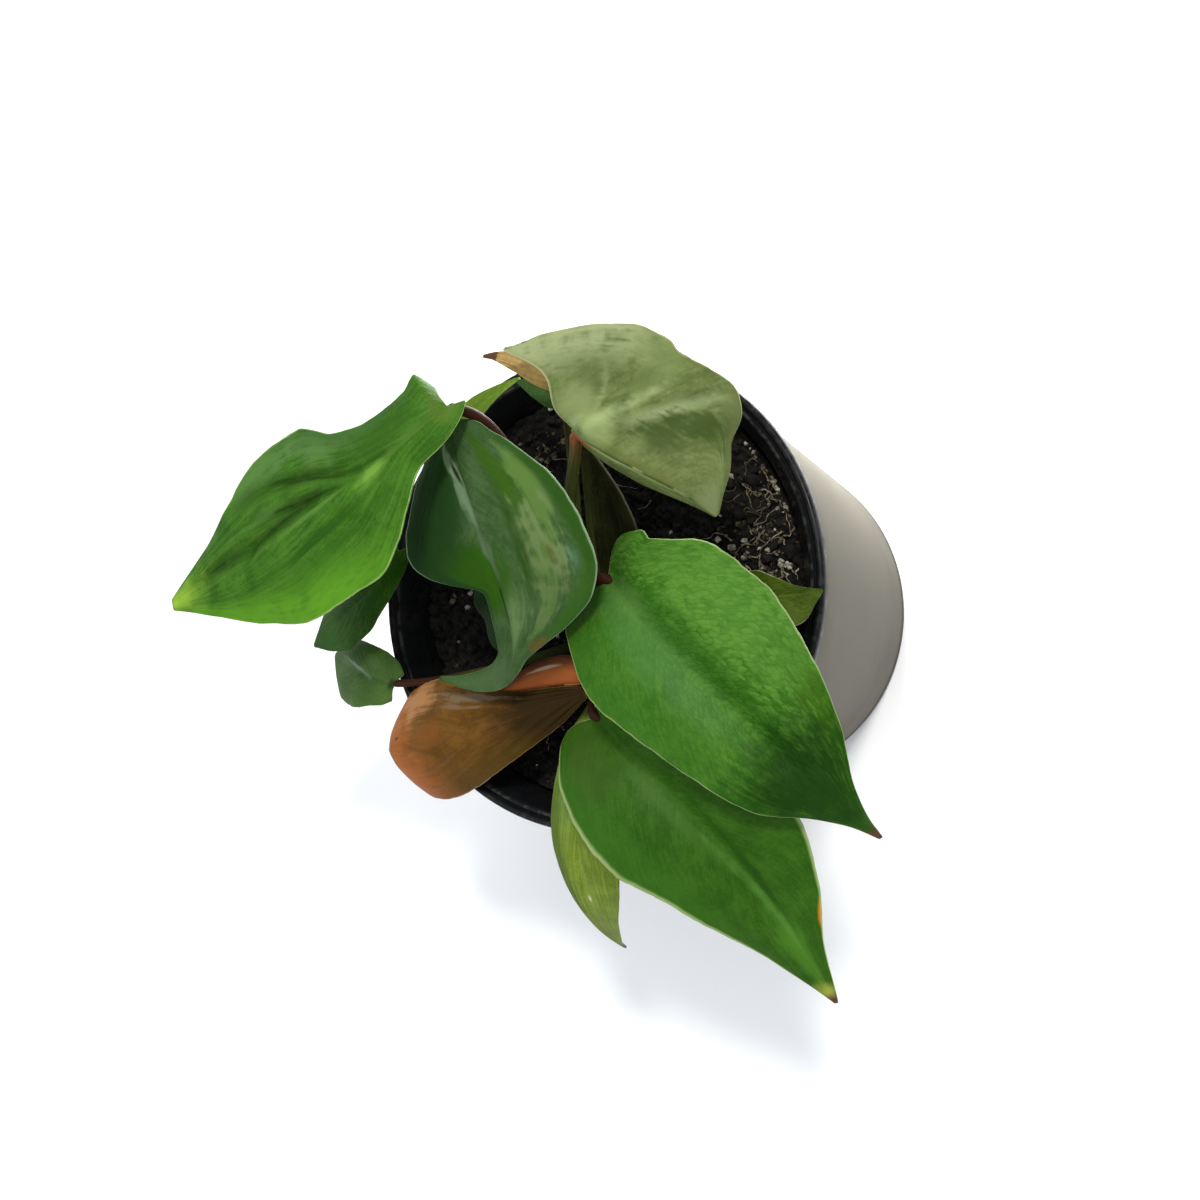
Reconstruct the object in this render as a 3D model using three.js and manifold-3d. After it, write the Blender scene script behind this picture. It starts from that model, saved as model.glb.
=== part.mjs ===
// Potted philodendron lynamii: a young leafy plant in a black nursery pot, which stands in a tapered
// cover pot.
// Millimetres, +Z up. The origin is the centre of the cover pot's flat base; +X is the pot's right side and
// +Y its back as seen from the front and above.
import * as THREE from "three";
import { mergeVertices } from "three/addons/utils/BufferGeometryUtils.js";
import Module from "manifold-3d";

// Driving sizes of the two pots and the soil.
const ROUND = 48;
const COVER_BASE_RADIUS = 45.5;
const COVER_TOP_RADIUS = 55.2;
const COVER_HEIGHT = 98.4;
const COVER_WALL = 2.2;
const COVER_FLOOR = 3;
const RIM_RADIUS = 57;
const RIM_TOP = 102;
const RIM_WIDTH = 3.6;
const RIM_UNDERSIDE = 98.7;
const NURSERY_TOP_RADIUS = 52.4;
const NURSERY_BASE_RADIUS = 40.5;
const NURSERY_WALL = 1.2;
const DRAIN_RADIUS = 4;
const DRAIN_CIRCLE = 26;
const DRAIN_COUNT = 5;
const SEAT_GAP = 0.3;
const SOIL_LEVEL = 91;
const SOIL_RELIEF = 1.1;
const STEM_CENTRE = [2, -10];
const STEM_RADIUS = 4.5;
const STEM_FOOT = 66;
const STEM_TOP = 101;
const STALK_SIDES = 6;
const BLADE_THICKNESS = 0.7;

// Each leaf blade: four control points of its midrib from the stalk to the tip, the way its upper face
// looks at the base and at the tip, half-widths left and right of the midrib at fractions of its length,
// the angles by which each half lifts and then curls (at base, at tip), how far the base lobes reach
// back, the waves of the margin (height, count, start), its stalk (height on the stem, two bends,
// radius) and its mesh steps.
const UP = [[0, 0, 1], [0, 0, 1]];
const LEAVES = {
  leaf_front_upper: {
    midrib: [[12.5, 1.5, 121], [23.5, -11, 134.5], [54.5, -37.5, 133], [69.5, -56, 103]],
    up: UP,
    left: [
      [0, 5], [0.06, 10], [0.15, 16], [0.3, 24.5], [0.45, 25.5],
      [0.6, 22], [0.75, 14.5], [0.88, 5.5], [1, 0.4],
    ],
    right: [
      [0, 8], [0.06, 10.5], [0.15, 15], [0.3, 19.5], [0.45, 18],
      [0.6, 16.5], [0.75, 13.5], [0.88, 5.5], [1, 0.4],
    ],
    leftFold: [12, 10, -25, -15],
    rightFold: [8, 0, -10, -15],
    lobe: 9,
    wave: [0.6, 3, 0],
    stalk: { from: 99, bends: [[6, -9, 112], [4, -3, 119]], radius: 1.5 },
    steps: [18, 6],
    colour: 0x3f7d2a,
  },
  leaf_front_lower: {
    midrib: [[5, -29.5, 112], [19, -39.5, 125], [45.5, -62, 112.5], [53.5, -94, 86]],
    up: UP,
    left: [
      [0, 5.5], [0.06, 8.5], [0.15, 12.5], [0.3, 17.5], [0.45, 20.5],
      [0.6, 19], [0.75, 12.5], [0.88, 4.5], [1, 0.4],
    ],
    right: [
      [0, 7], [0.06, 12], [0.15, 18], [0.3, 21.5], [0.45, 22.5],
      [0.6, 18.5], [0.75, 13.5], [0.88, 7.5], [1, 0.4],
    ],
    leftFold: [12, 5, -20, -20],
    rightFold: [10, 5, -20, -20],
    lobe: 7,
    wave: [0.6, 3, 0.2],
    stalk: { from: 97, bends: [[3, -15, 105], [1, -24, 105]], radius: 1.5 },
    steps: [18, 6],
    colour: 0x3f7a2c,
  },
  leaf_left: {
    midrib: [[-12, 36.5, 147], [-15.5, 28, 157.5], [-62.5, 5, 145.5], [-94, -3.5, 138]],
    up: UP,
    left: [
      [0, 6], [0.06, 6.5], [0.15, 6.5], [0.3, 13.5], [0.45, 22],
      [0.6, 21.5], [0.75, 15], [0.88, 6.5], [1, 0.4],
    ],
    right: [
      [0, 6.5], [0.06, 11], [0.15, 9], [0.3, 9.5], [0.4, 15.5],
      [0.5, 18.5], [0.6, 19.5], [0.75, 14], [0.88, 8], [1, 0.4],
    ],
    leftFold: [15, 0, -20, -15],
    rightFold: [15, 0, -20, -15],
    lobe: 3,
    wave: [1, 3, 0.1],
    stalk: { from: 100, bends: [[-5, 2, 118], [-3, 40, 130]], radius: 1.5 },
    steps: [18, 6],
    colour: 0x3f7f2b,
  },
  leaf_centre: {
    midrib: [[-15.5, 34.5, 140.5], [-12.5, 12.5, 146.5], [13, -32.5, 125], [-32, -21, 117]],
    up: UP,
    left: [
      [0, 2], [0.06, 9], [0.15, 15], [0.3, 22.5], [0.45, 24.5],
      [0.6, 8.5], [0.75, 2.2], [0.88, 1], [1, 0.4],
    ],
    right: [
      [0, 1.5], [0.06, 11], [0.15, 20], [0.3, 27.5], [0.4, 21], [0.47, 11],
      [0.54, 5.5], [0.64, 4.3], [0.75, 6], [0.88, 3.6], [1, 0.4],
    ],
    leftFold: [15, 0, -25, -20],
    rightFold: [-20, -10, -20, -10],
    lobe: 0,
    wave: [0, 0, 0],
    stalk: { from: 98, bends: [[-7, 0, 112], [-18, 34, 122]], radius: 1.4 },
    steps: [20, 6],
    colour: 0x45733f,
  },
  leaf_back: {
    midrib: [[16, 29.5, 143], [23.5, 22.5, 144], [38.5, 17, 143], [44, 11, 132]],
    up: UP,
    left: [
      [0, 4.5], [0.06, 15.5], [0.15, 25], [0.3, 27.5], [0.45, 26.5],
      [0.6, 25.5], [0.75, 24.5], [0.88, 16], [1, 1],
    ],
    right: [[0, 3], [0.15, 5], [0.3, 6], [0.5, 6], [0.7, 4.5], [0.88, 2.5], [1, 1]],
    leftFold: [12, 5, -15, -25],
    rightFold: [-65, -60, -15, -10],
    lobe: 27,
    wave: [0, 0, 0],
    stalk: { from: 101, bends: [[-8, -4, 114], [9, 22, 126]], radius: 1.5 },
    steps: [16, 7],
    colour: 0x8f9a68,
  },
  leaf_under_front: {
    midrib: [[2, -27.5, 102.5], [4, -42, 115], [-8, -72, 107], [-7.5, -87, 68]],
    up: UP,
    left: [[0, 2], [0.06, 4], [0.15, 7], [0.3, 9.5], [0.5, 11], [0.7, 9], [0.85, 5], [1, 0.3]],
    right: [[0, 2], [0.06, 3.5], [0.15, 5.5], [0.3, 7], [0.5, 7.5], [0.7, 5.5], [0.85, 3], [1, 0.3]],
    leftFold: [5, 5, -20, -20],
    rightFold: [5, 5, -20, -20],
    lobe: 3,
    wave: [0, 0, 0],
    stalk: { from: 95.5, bends: [[0, -14, 99], [1, -22, 99]], radius: 1.2 },
    steps: [14, 4],
    colour: 0x6c7f2c,
  },
  leaf_young_rolled: {
    midrib: [[3.5, -24.5, 112], [-12.5, -27.5, 114], [-24, -36, 122], [-55, -38, 103]],
    up: UP,
    left: [
      [0, 1.5], [0.06, 3.2], [0.15, 5.5], [0.3, 8.2], [0.45, 10.5],
      [0.6, 12.5], [0.75, 14.5], [0.9, 14], [1, 4],
    ],
    right: [
      [0, 1], [0.06, 2], [0.15, 3], [0.3, 4.5], [0.45, 8],
      [0.6, 12], [0.75, 15], [0.9, 12.5], [1, 4],
    ],
    leftFold: [-15, -20, -20, -30],
    rightFold: [-5, -5, -20, -25],
    lobe: 0,
    wave: [0.5, 2, 0],
    stalk: { from: 96, bends: [[-3, -14, 103], [0, -21, 107]], radius: 1.2 },
    steps: [16, 5],
    colour: 0xa0683c,
  },
  leaf_small_hanging: {
    midrib: [[-52.5, -22, 105], [-58, -19, 107], [-66.5, -18.5, 102], [-78.5, -13.5, 93]],
    up: UP,
    left: [[0, 4], [0.1, 6], [0.3, 7.5], [0.6, 9.5], [0.75, 9], [0.88, 5.5], [1, 0.5]],
    right: [[0, 3.5], [0.1, 5.7], [0.3, 7], [0.6, 7.3], [0.75, 6.8], [0.88, 5.5], [1, 0.5]],
    leftFold: [10, 5, -30, -20],
    rightFold: [10, 5, -30, -20],
    lobe: 1,
    wave: [0, 0, 0],
    stalk: { from: 95, bends: [[-14, -16, 99], [-36, -22, 104]], radius: 1.1 },
    steps: [10, 4],
    colour: 0x4d8346,
  },
  leaf_left_lower: {
    midrib: [[-43, 9.5, 118], [-45, 1, 123], [-58, -3.5, 115], [-84.5, -11, 94]],
    up: UP,
    left: [[0, 2], [0.1, 3.5], [0.3, 5], [0.45, 6], [0.6, 7.5], [0.75, 7.5], [0.88, 5], [1, 0.4]],
    right: [[0, 2], [0.1, 5], [0.3, 8.5], [0.45, 10.5], [0.6, 11], [0.75, 9.5], [0.88, 6], [1, 0.4]],
    leftFold: [0, 0, -20, -20],
    rightFold: [0, 0, -25, -20],
    lobe: 2,
    wave: [0, 0, 0],
    stalk: { from: 97, bends: [[-10, -6, 106], [-34, 12, 108]], radius: 1.2 },
    steps: [12, 4],
    colour: 0x3c6b28,
  },
  leaf_small_back_left: {
    midrib: [[-29.5, 38, 112], [-26, 41.5, 115], [-21, 47, 112], [-16.5, 50.5, 107]],
    up: UP,
    left: [[0, 2.6], [0.2, 3.4], [0.4, 3], [0.7, 1.6], [1, 0.3]],
    right: [[0, 2.6], [0.2, 2.9], [0.5, 2.2], [0.75, 1.2], [1, 0.3]],
    leftFold: [10, 10, 0, 0],
    rightFold: [10, 10, 0, 0],
    lobe: 0,
    wave: [0, 0, 0],
    stalk: { from: 95, bends: [[-8, 4, 99], [-30, 28, 100]], radius: 1 },
    steps: [8, 2],
    colour: 0x7aa23c,
  },
  leaf_small_back: {
    midrib: [[3.5, 41, 118], [1, 42, 121], [-5.5, 45, 117], [-15.5, 49, 110]],
    up: UP,
    left: [[0, 1], [0.15, 2.6], [0.4, 3.2], [0.7, 2.3], [1, 0.3]],
    right: [[0, 1], [0.15, 2], [0.5, 2.8], [0.75, 2.2], [1, 0.3]],
    leftFold: [5, 5, -10, -10],
    rightFold: [5, 5, -10, -10],
    lobe: 1,
    wave: [0, 0, 0],
    stalk: { from: 96, bends: [[-3, 6, 99], [0, 38, 102]], radius: 1 },
    steps: [8, 2],
    colour: 0x4d7d3a,
  },
  leaf_small_right: {
    midrib: [[38.5, -5, 108], [48, -4.5, 115], [54.5, -4.5, 112.5], [58, -3, 106]],
    up: UP,
    left: [[0, 5], [0.15, 6.3], [0.3, 6.2], [0.45, 4.5], [0.7, 1.8], [1, 0.3]],
    right: [[0, 4], [0.15, 6], [0.45, 8], [0.7, 6.5], [0.85, 3], [1, 0.3]],
    leftFold: [20, 10, 0, 0],
    rightFold: [20, 10, 0, 0],
    lobe: 0,
    wave: [0, 0, 0],
    stalk: { from: 96, bends: [[12, -9, 101], [32, -7, 101]], radius: 1.1 },
    steps: [10, 3],
    colour: 0x7c8a35,
  },
  leaf_inner: {
    midrib: [[-20, 4, 110], [-18.5, -4.5, 113], [-20, -9.5, 112], [-20.5, -15, 108]],
    up: UP,
    left: [[0, 2], [0.15, 6], [0.3, 7.2], [0.6, 5.6], [0.85, 2.2], [1, 0.3]],
    right: [[0, 3], [0.15, 6.3], [0.3, 6.4], [0.6, 3.2], [0.85, 2.5], [1, 0.3]],
    leftFold: [5, 5, 0, 0],
    rightFold: [5, 5, 0, 0],
    lobe: 2,
    wave: [0, 0, 0],
    stalk: { from: 99, bends: [[-8, -4, 104], [-19, 7, 103]], radius: 1.1 },
    steps: [10, 3],
    colour: 0x3c5f45,
  },
  leaf_young_back: {
    midrib: [[5, 43.5, 131], [1.5, 44.5, 135.5], [-3, 49, 135.5], [-12.5, 50.5, 131]],
    up: UP,
    left: [[0, 2.6], [0.3, 2.3], [0.6, 1.7], [1, 0.3]],
    right: [[0, 2.4], [0.3, 2.7], [0.6, 2.5], [0.85, 1.2], [1, 0.3]],
    leftFold: [5, 5, -30, -30],
    rightFold: [-5, -5, -30, -20],
    lobe: 0,
    wave: [0, 0, 0],
    stalk: { from: 99, bends: [[-3, 4, 112], [5, 40, 114]], radius: 1.1 },
    steps: [8, 2],
    colour: 0xa8714a,
  },
  sheath: {
    midrib: [[4.1, -5.9, 97], [8, 6, 102], [15.5, 18, 122], [14, 27.5, 131]],
    up: [[0, -0.5, 1], [0, -0.5, 1]],
    left: [[0, 1.2], [0.25, 4], [0.45, 4.6], [0.6, 3.7], [0.85, 1.8], [1, 0.3]],
    right: [[0, 1.2], [0.25, 5], [0.45, 9], [0.6, 8.5], [0.75, 6], [0.9, 2.2], [1, 0.3]],
    leftFold: [25, 25, 0, 0],
    rightFold: [25, 25, 0, 0],
    lobe: 0,
    wave: [0, 0, 0],
    steps: [10, 3],
    colour: 0x5d5f33,
  },
};

const wasm = await Module();
wasm.setup();

// A smooth curve through [x, y] pairs that never overshoots them.
function steady(pairs, x) {
  const n = pairs.length - 1;
  const h = [];
  const d = [];
  for (let i = 0; i < n; i++) {
    h.push(pairs[i + 1][0] - pairs[i][0]);
    d.push((pairs[i + 1][1] - pairs[i][1]) / h[i]);
  }
  const m = [d[0]];
  for (let i = 1; i < n; i++) {
    const w1 = 2 * h[i] + h[i - 1];
    const w2 = h[i] + 2 * h[i - 1];
    m.push(d[i - 1] * d[i] > 0 ? (w1 + w2) / (w1 / d[i - 1] + w2 / d[i]) : 0);
  }
  m.push(d[n - 1]);
  let i = 0;
  while (i < n - 1 && x > pairs[i + 1][0]) i++;
  const u = (x - pairs[i][0]) / h[i];
  const u2 = u * u;
  const u3 = u2 * u;
  return (
    (2 * u3 - 3 * u2 + 1) * pairs[i][1] +
    (u3 - 2 * u2 + u) * h[i] * m[i] +
    (3 * u2 - 2 * u3) * pairs[i + 1][1] +
    (u3 - u2) * h[i] * m[i + 1]
  );
}

const vec = (a) => new THREE.Vector3(a[0], a[1], a[2]);
const radians = (a) => THREE.MathUtils.degToRad(a);
const mix = (a, b, t) => a + (b - a) * t;

// Midrib point, direction, side (to the right of the tip's direction) and face normal at fraction t.
function ribFrame(leaf, t) {
  const curve = new THREE.CubicBezierCurve3(...leaf.midrib.map(vec));
  const along = curve.getTangent(t);
  const up = vec(leaf.up[0]).lerp(vec(leaf.up[1]), t);
  const side = along.clone().cross(up).normalize();
  const face = side.clone().cross(along);
  return { at: curve.getPoint(t), along, side, face };
}

// A point of the blade's middle surface: t runs along the midrib, s from -1 (left margin) to 1 (right
// margin).
function bladePoint(leaf, t, s) {
  const { at, along, side, face } = ribFrame(leaf, t);
  const a = Math.abs(s);
  const width = steady(s < 0 ? leaf.left : leaf.right, t);
  const angles = s < 0 ? leaf.leftFold : leaf.rightFold;
  const fold = radians(mix(angles[0], angles[1], t));
  const curl = radians(mix(angles[2], angles[3], t));
  const straight = Math.abs(curl) < 1e-4;
  const out = straight ? Math.cos(fold) * a : (Math.sin(fold + curl * a) - Math.sin(fold)) / curl;
  const rise = straight ? Math.sin(fold) * a : (Math.cos(fold) - Math.cos(fold + curl * a)) / curl;
  const back = leaf.lobe * Math.max(0, 1 - t / 0.35) ** 2 * (1.4 * a ** 2 - 0.4 * a ** 8);
  const [height, count, start] = leaf.wave;
  const turn = 2 * Math.PI * (count * t + start + (s < 0 ? 0.37 : 0));
  const ripple = height * a * a * Math.sin(turn) * Math.min(1, 4 * t) * Math.min(1, 5 * (1 - t));
  return at
    .addScaledVector(side, Math.sign(s) * out * width)
    .addScaledVector(face, rise * width + ripple)
    .addScaledVector(along, -back);
}

// Unit normal of the blade's upper face, from nearby points of the surface.
function bladeNormal(leaf, t, s) {
  const e = 0.004;
  const t0 = Math.max(0, t - e);
  const t1 = Math.min(1, t + e);
  const s0 = Math.max(-1, s - e);
  const s1 = Math.min(1, s + e);
  const across = bladePoint(leaf, t, s1).sub(bladePoint(leaf, t, s0));
  const along = bladePoint(leaf, t1, s).sub(bladePoint(leaf, t0, s));
  return across.cross(along).normalize();
}

function geometryOf(points, faces) {
  const g = new THREE.BufferGeometry();
  g.setAttribute("position", new THREE.Float32BufferAttribute(points.flat(), 3));
  g.setIndex(faces.flat());
  return g;
}

// A blade as a closed sheet: upper and lower faces split alike, joined round the margin.
function bladeGeometry(leaf, thickness = BLADE_THICKNESS) {
  const [rows, half] = leaf.steps;
  const cols = 2 * half;
  const points = [];
  for (const lift of [thickness / 2, -thickness / 2]) {
    for (let i = 0; i <= rows; i++) {
      for (let j = 0; j <= cols; j++) {
        const t = i / rows;
        const s = j / half - 1;
        const p = bladePoint(leaf, t, s).addScaledVector(bladeNormal(leaf, t, s), lift);
        points.push([p.x, p.y, p.z]);
      }
    }
  }
  const top = (i, j) => i * (cols + 1) + j;
  const under = (i, j) => top(i, j) + (rows + 1) * (cols + 1);
  const faces = [];
  for (let i = 0; i < rows; i++) {
    for (let j = 0; j < cols; j++) {
      faces.push([top(i, j), top(i, j + 1), top(i + 1, j + 1)]);
      faces.push([top(i, j), top(i + 1, j + 1), top(i + 1, j)]);
      faces.push([under(i, j), under(i + 1, j + 1), under(i, j + 1)]);
      faces.push([under(i, j), under(i + 1, j), under(i + 1, j + 1)]);
    }
  }
  const round = [];
  for (let j = 0; j < cols; j++) round.push([0, j]);
  for (let i = 0; i < rows; i++) round.push([i, cols]);
  for (let j = cols; j > 0; j--) round.push([rows, j]);
  for (let i = rows; i > 0; i--) round.push([i, 0]);
  round.forEach((p, k) => {
    const q = round[(k + 1) % round.length];
    faces.push([under(...p), under(...q), top(...q)]);
    faces.push([under(...p), top(...q), top(...p)]);
  });
  return geometryOf(points, faces);
}

// A solid turned round Z from a closed outline of [radius, height] pairs that runs from axis to axis.
function turned(outline) {
  const g = new THREE.LatheGeometry(outline.map(([r, z]) => new THREE.Vector2(r, z)), ROUND);
  return g.rotateX(Math.PI / 2);
}

function solid(geometry) {
  const g = geometry.clone();
  g.deleteAttribute("normal");
  g.deleteAttribute("uv");
  const merged = mergeVertices(g, 1e-3);
  const made = new wasm.Manifold(
    new wasm.Mesh({
      numProp: 3,
      vertProperties: merged.attributes.position.array,
      triVerts: new Uint32Array(merged.index.array),
    }),
  );
  return made;
}

function geometryFrom(manifold) {
  const mesh = manifold.getMesh();
  const g = new THREE.BufferGeometry();
  g.setAttribute("position", new THREE.BufferAttribute(new Float32Array(mesh.vertProperties), 3));
  g.setIndex(new THREE.BufferAttribute(new Uint32Array(mesh.triVerts), 1));
  return g;
}

// A tapering round rod along a cubic curve, closed at both ends.
function rod(controls, startRadius, endRadius, sides, steps) {
  const curve = new THREE.CubicBezierCurve3(...controls.map(vec));
  const points = [];
  let side = new THREE.Vector3(1, 0, 0);
  for (let i = 0; i <= steps; i++) {
    const at = curve.getPoint(i / steps);
    const along = curve.getTangent(i / steps);
    side = side.addScaledVector(along, -side.dot(along)).normalize();
    const other = along.clone().cross(side);
    const radius = mix(startRadius, endRadius, i / steps);
    for (let k = 0; k < sides; k++) {
      const a = (2 * Math.PI * k) / sides;
      const p = at
        .clone()
        .addScaledVector(side, radius * Math.cos(a))
        .addScaledVector(other, radius * Math.sin(a));
      points.push([p.x, p.y, p.z]);
    }
  }
  const faces = [];
  for (let i = 0; i < steps; i++) {
    for (let k = 0; k < sides; k++) {
      const a = i * sides + k;
      const b = i * sides + ((k + 1) % sides);
      faces.push([a, b, b + sides]);
      faces.push([a, b + sides, a + sides]);
    }
  }
  const last = steps * sides;
  for (let k = 1; k < sides - 1; k++) {
    faces.push([0, k + 1, k]);
    faces.push([last, last + k, last + k + 1]);
  }
  return geometryOf(points, faces);
}

// Height of the soil's uneven surface.
function soilHeight(x, y) {
  const slow = Math.sin(0.11 * x + 1.3) * Math.cos(0.13 * y - 0.4);
  const quick = Math.sin(0.37 * x - 0.6 * y) * Math.cos(0.41 * y + 0.29 * x + 1);
  return SOIL_LEVEL + SOIL_RELIEF * (0.6 * slow + 0.4 * quick);
}

const group = new THREE.Group();
function add(name, geometry, colour, roughness) {
  const material = new THREE.MeshStandardMaterial({
    color: colour,
    roughness,
    metalness: 0,
    flatShading: true,
  });
  const mesh = new THREE.Mesh(geometry, material);
  mesh.name = name;
  group.add(mesh);
}

// Cover pot: plain tapered wall on a flat base.
const coverSlope = (COVER_TOP_RADIUS - COVER_BASE_RADIUS) / COVER_HEIGHT;
add(
  "cover_pot",
  turned([
    [0, 0],
    [COVER_BASE_RADIUS - 1, 0],
    [COVER_BASE_RADIUS, 1],
    [COVER_TOP_RADIUS, COVER_HEIGHT],
    [COVER_TOP_RADIUS - COVER_WALL, COVER_HEIGHT],
    [COVER_BASE_RADIUS - COVER_WALL + coverSlope * COVER_FLOOR, COVER_FLOOR],
    [0, COVER_FLOOR],
  ]),
  0xc9c7c4,
  0.75,
);

// Nursery pot: thin tapered wall, a stepped rim that hooks over the cover pot, and drain holes in its
// floor.
const nurseryFoot = COVER_FLOOR + SEAT_GAP;
const nurserySlope = (NURSERY_TOP_RADIUS - NURSERY_BASE_RADIUS) / (RIM_UNDERSIDE - nurseryFoot);
const nurseryRadius = (z) => NURSERY_BASE_RADIUS + nurserySlope * (z - nurseryFoot);
const nurseryFloor = nurseryFoot + NURSERY_WALL;
const nurseryBody = solid(
  turned([
    [0, nurseryFoot],
    [NURSERY_BASE_RADIUS, nurseryFoot],
    [NURSERY_TOP_RADIUS, RIM_UNDERSIDE],
    [RIM_RADIUS, RIM_UNDERSIDE],
    [RIM_RADIUS, RIM_TOP - 0.8],
    [RIM_RADIUS - 0.5, RIM_TOP],
    [RIM_RADIUS - 1.6, RIM_TOP],
    [RIM_RADIUS - 1.9, RIM_TOP - 0.5],
    [RIM_RADIUS - RIM_WIDTH, RIM_TOP - 0.5],
    [nurseryRadius(RIM_TOP - 4) - NURSERY_WALL, RIM_TOP - 4],
    [NURSERY_BASE_RADIUS - NURSERY_WALL + nurserySlope * NURSERY_WALL, nurseryFloor],
    [0, nurseryFloor],
  ]),
);
let drained = nurseryBody;
for (let i = 0; i < DRAIN_COUNT; i++) {
  const a = (2 * Math.PI * i) / DRAIN_COUNT;
  const drill = new THREE.CylinderGeometry(DRAIN_RADIUS, DRAIN_RADIUS, 6, 16);
  drill.rotateX(Math.PI / 2);
  drill.translate(DRAIN_CIRCLE * Math.cos(a), DRAIN_CIRCLE * Math.sin(a), nurseryFoot + 0.6);
  drained = drained.subtract(solid(drill));
}
add("nursery_pot", geometryFrom(drained), 0x17181a, 0.45);

// Soil: fills the nursery pot with an uneven top, and has a plain hole for the stem.
function soilGeometry() {
  const rings = 8;
  const foot = nurseryFloor + SEAT_GAP;
  const radiusAt = (z) => nurseryRadius(z) - NURSERY_WALL - SEAT_GAP - 0.1;
  const points = [[0, 0, soilHeight(0, 0)]];
  for (let i = 1; i <= rings; i++) {
    for (let k = 0; k < ROUND; k++) {
      const a = (2 * Math.PI * k) / ROUND;
      const flat = (radiusAt(SOIL_LEVEL - 2) * i) / rings;
      const x = flat * Math.cos(a);
      const y = flat * Math.sin(a);
      points.push([x, y, i === rings ? SOIL_LEVEL - 1 : soilHeight(x, y)]);
    }
  }
  for (let k = 0; k < ROUND; k++) {
    const a = (2 * Math.PI * k) / ROUND;
    points.push([radiusAt(foot) * Math.cos(a), radiusAt(foot) * Math.sin(a), foot]);
  }
  points.push([0, 0, foot]);
  const at = (i, k) => (i === 0 ? 0 : 1 + (i - 1) * ROUND + (k % ROUND));
  const faces = [];
  for (let k = 0; k < ROUND; k++) {
    faces.push([0, at(1, k), at(1, k + 1)]);
    for (let i = 1; i <= rings; i++) {
      faces.push([at(i, k), at(i + 1, k), at(i + 1, k + 1)]);
      faces.push([at(i, k), at(i + 1, k + 1), at(i, k + 1)]);
    }
    faces.push([at(rings + 1, k), points.length - 1, at(rings + 1, k + 1)]);
  }
  return geometryOf(points, faces);
}
const stemHole = new THREE.CylinderGeometry(STEM_RADIUS + 0.4, STEM_RADIUS + 0.4, 60, 24);
stemHole.rotateX(Math.PI / 2);
stemHole.translate(STEM_CENTRE[0], STEM_CENTRE[1], STEM_FOOT - SEAT_GAP + 30);
add("soil", geometryFrom(solid(soilGeometry()).subtract(solid(stemHole))), 0x2a2522, 0.95);

// Stem with the leaf stalks grown out of it: each stalk leaves the stem's axis and ends just under its
// blade.
const [stemX, stemY] = STEM_CENTRE;
let stem = solid(
  new THREE.CylinderGeometry(STEM_RADIUS * 0.8, STEM_RADIUS, STEM_TOP - STEM_FOOT, 24)
    .rotateX(Math.PI / 2)
    .translate(stemX, stemY, (STEM_TOP + STEM_FOOT) / 2),
);
for (const leaf of Object.values(LEAVES)) {
  if (!leaf.stalk) continue;
  const { from, bends, radius } = leaf.stalk;
  const { at, along, side, face } = ribFrame(leaf, 0);
  const end = at.clone().addScaledVector(along, 0.8).addScaledVector(face, -0.6).toArray();
  const controls = [[stemX, stemY, from], ...bends, end];
  let stalk = solid(rod(controls, radius * 1.35, radius * 0.85, STALK_SIDES, 9));
  const room = solid(bladeGeometry(leaf, BLADE_THICKNESS + 2 * SEAT_GAP));
  for (const way of [side, side.clone().negate(), along.clone().negate(), face.clone().negate()]) {
    stalk = stalk.subtract(room.translate(way.multiplyScalar(SEAT_GAP).toArray()));
  }
  stem = stem.add(stalk.decompose().reduce((a, b) => (a.volume() > b.volume() ? a : b)));
}
add("stem", geometryFrom(stem), 0x5f5a30, 0.6);

for (const [name, leaf] of Object.entries(LEAVES)) {
  add(name, bladeGeometry(leaf), leaf.colour, 0.4);
}

export default group;
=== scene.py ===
"""Finished looks of a young potted philodendron lynamii: leaves, stalks, sheath, soil and two pots.

All sizes are in millimetres and are turned to metres as each piece is made. The origin is the
centre of the cover pot's flat base, +Z is up, +X the right side and +Y the back.
"""

import logging
import math
from dataclasses import dataclass
from enum import Enum
from typing import Callable, Sequence

import bpy
import numpy as np
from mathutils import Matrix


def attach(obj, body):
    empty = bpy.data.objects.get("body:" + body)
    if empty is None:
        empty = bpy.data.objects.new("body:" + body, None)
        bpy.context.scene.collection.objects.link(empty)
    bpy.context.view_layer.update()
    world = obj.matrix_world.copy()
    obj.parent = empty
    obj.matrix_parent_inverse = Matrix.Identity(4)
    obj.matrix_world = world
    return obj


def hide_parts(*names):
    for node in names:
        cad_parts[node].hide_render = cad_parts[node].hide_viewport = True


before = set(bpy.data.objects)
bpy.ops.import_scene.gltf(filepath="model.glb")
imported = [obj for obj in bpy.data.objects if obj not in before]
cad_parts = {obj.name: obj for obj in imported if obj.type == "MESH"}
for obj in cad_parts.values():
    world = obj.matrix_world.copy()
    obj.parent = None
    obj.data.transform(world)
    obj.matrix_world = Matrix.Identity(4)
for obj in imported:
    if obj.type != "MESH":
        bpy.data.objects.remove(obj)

LOG = logging.getLogger("potted_plant")
MM = 0.001
BODY = "root"
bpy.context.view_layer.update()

# The run of the side veins, alike in a blade's relief and in its skin.
VEIN_CURVE = 1.15  # how a vein bends towards the tip as it leaves the midrib
HALF_SHIFT = 0.37  # how far one half's veins and waves lie ahead of the other's

# The margin of a blade.
LOBE_LENGTH = 0.35  # the share of a blade over which its base lobes reach back
JAGS = ((56.5, 1, 0.5), (106, 2, 0.3), (197, 0, 0.2))  # rate, start and share of each small wave

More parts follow.
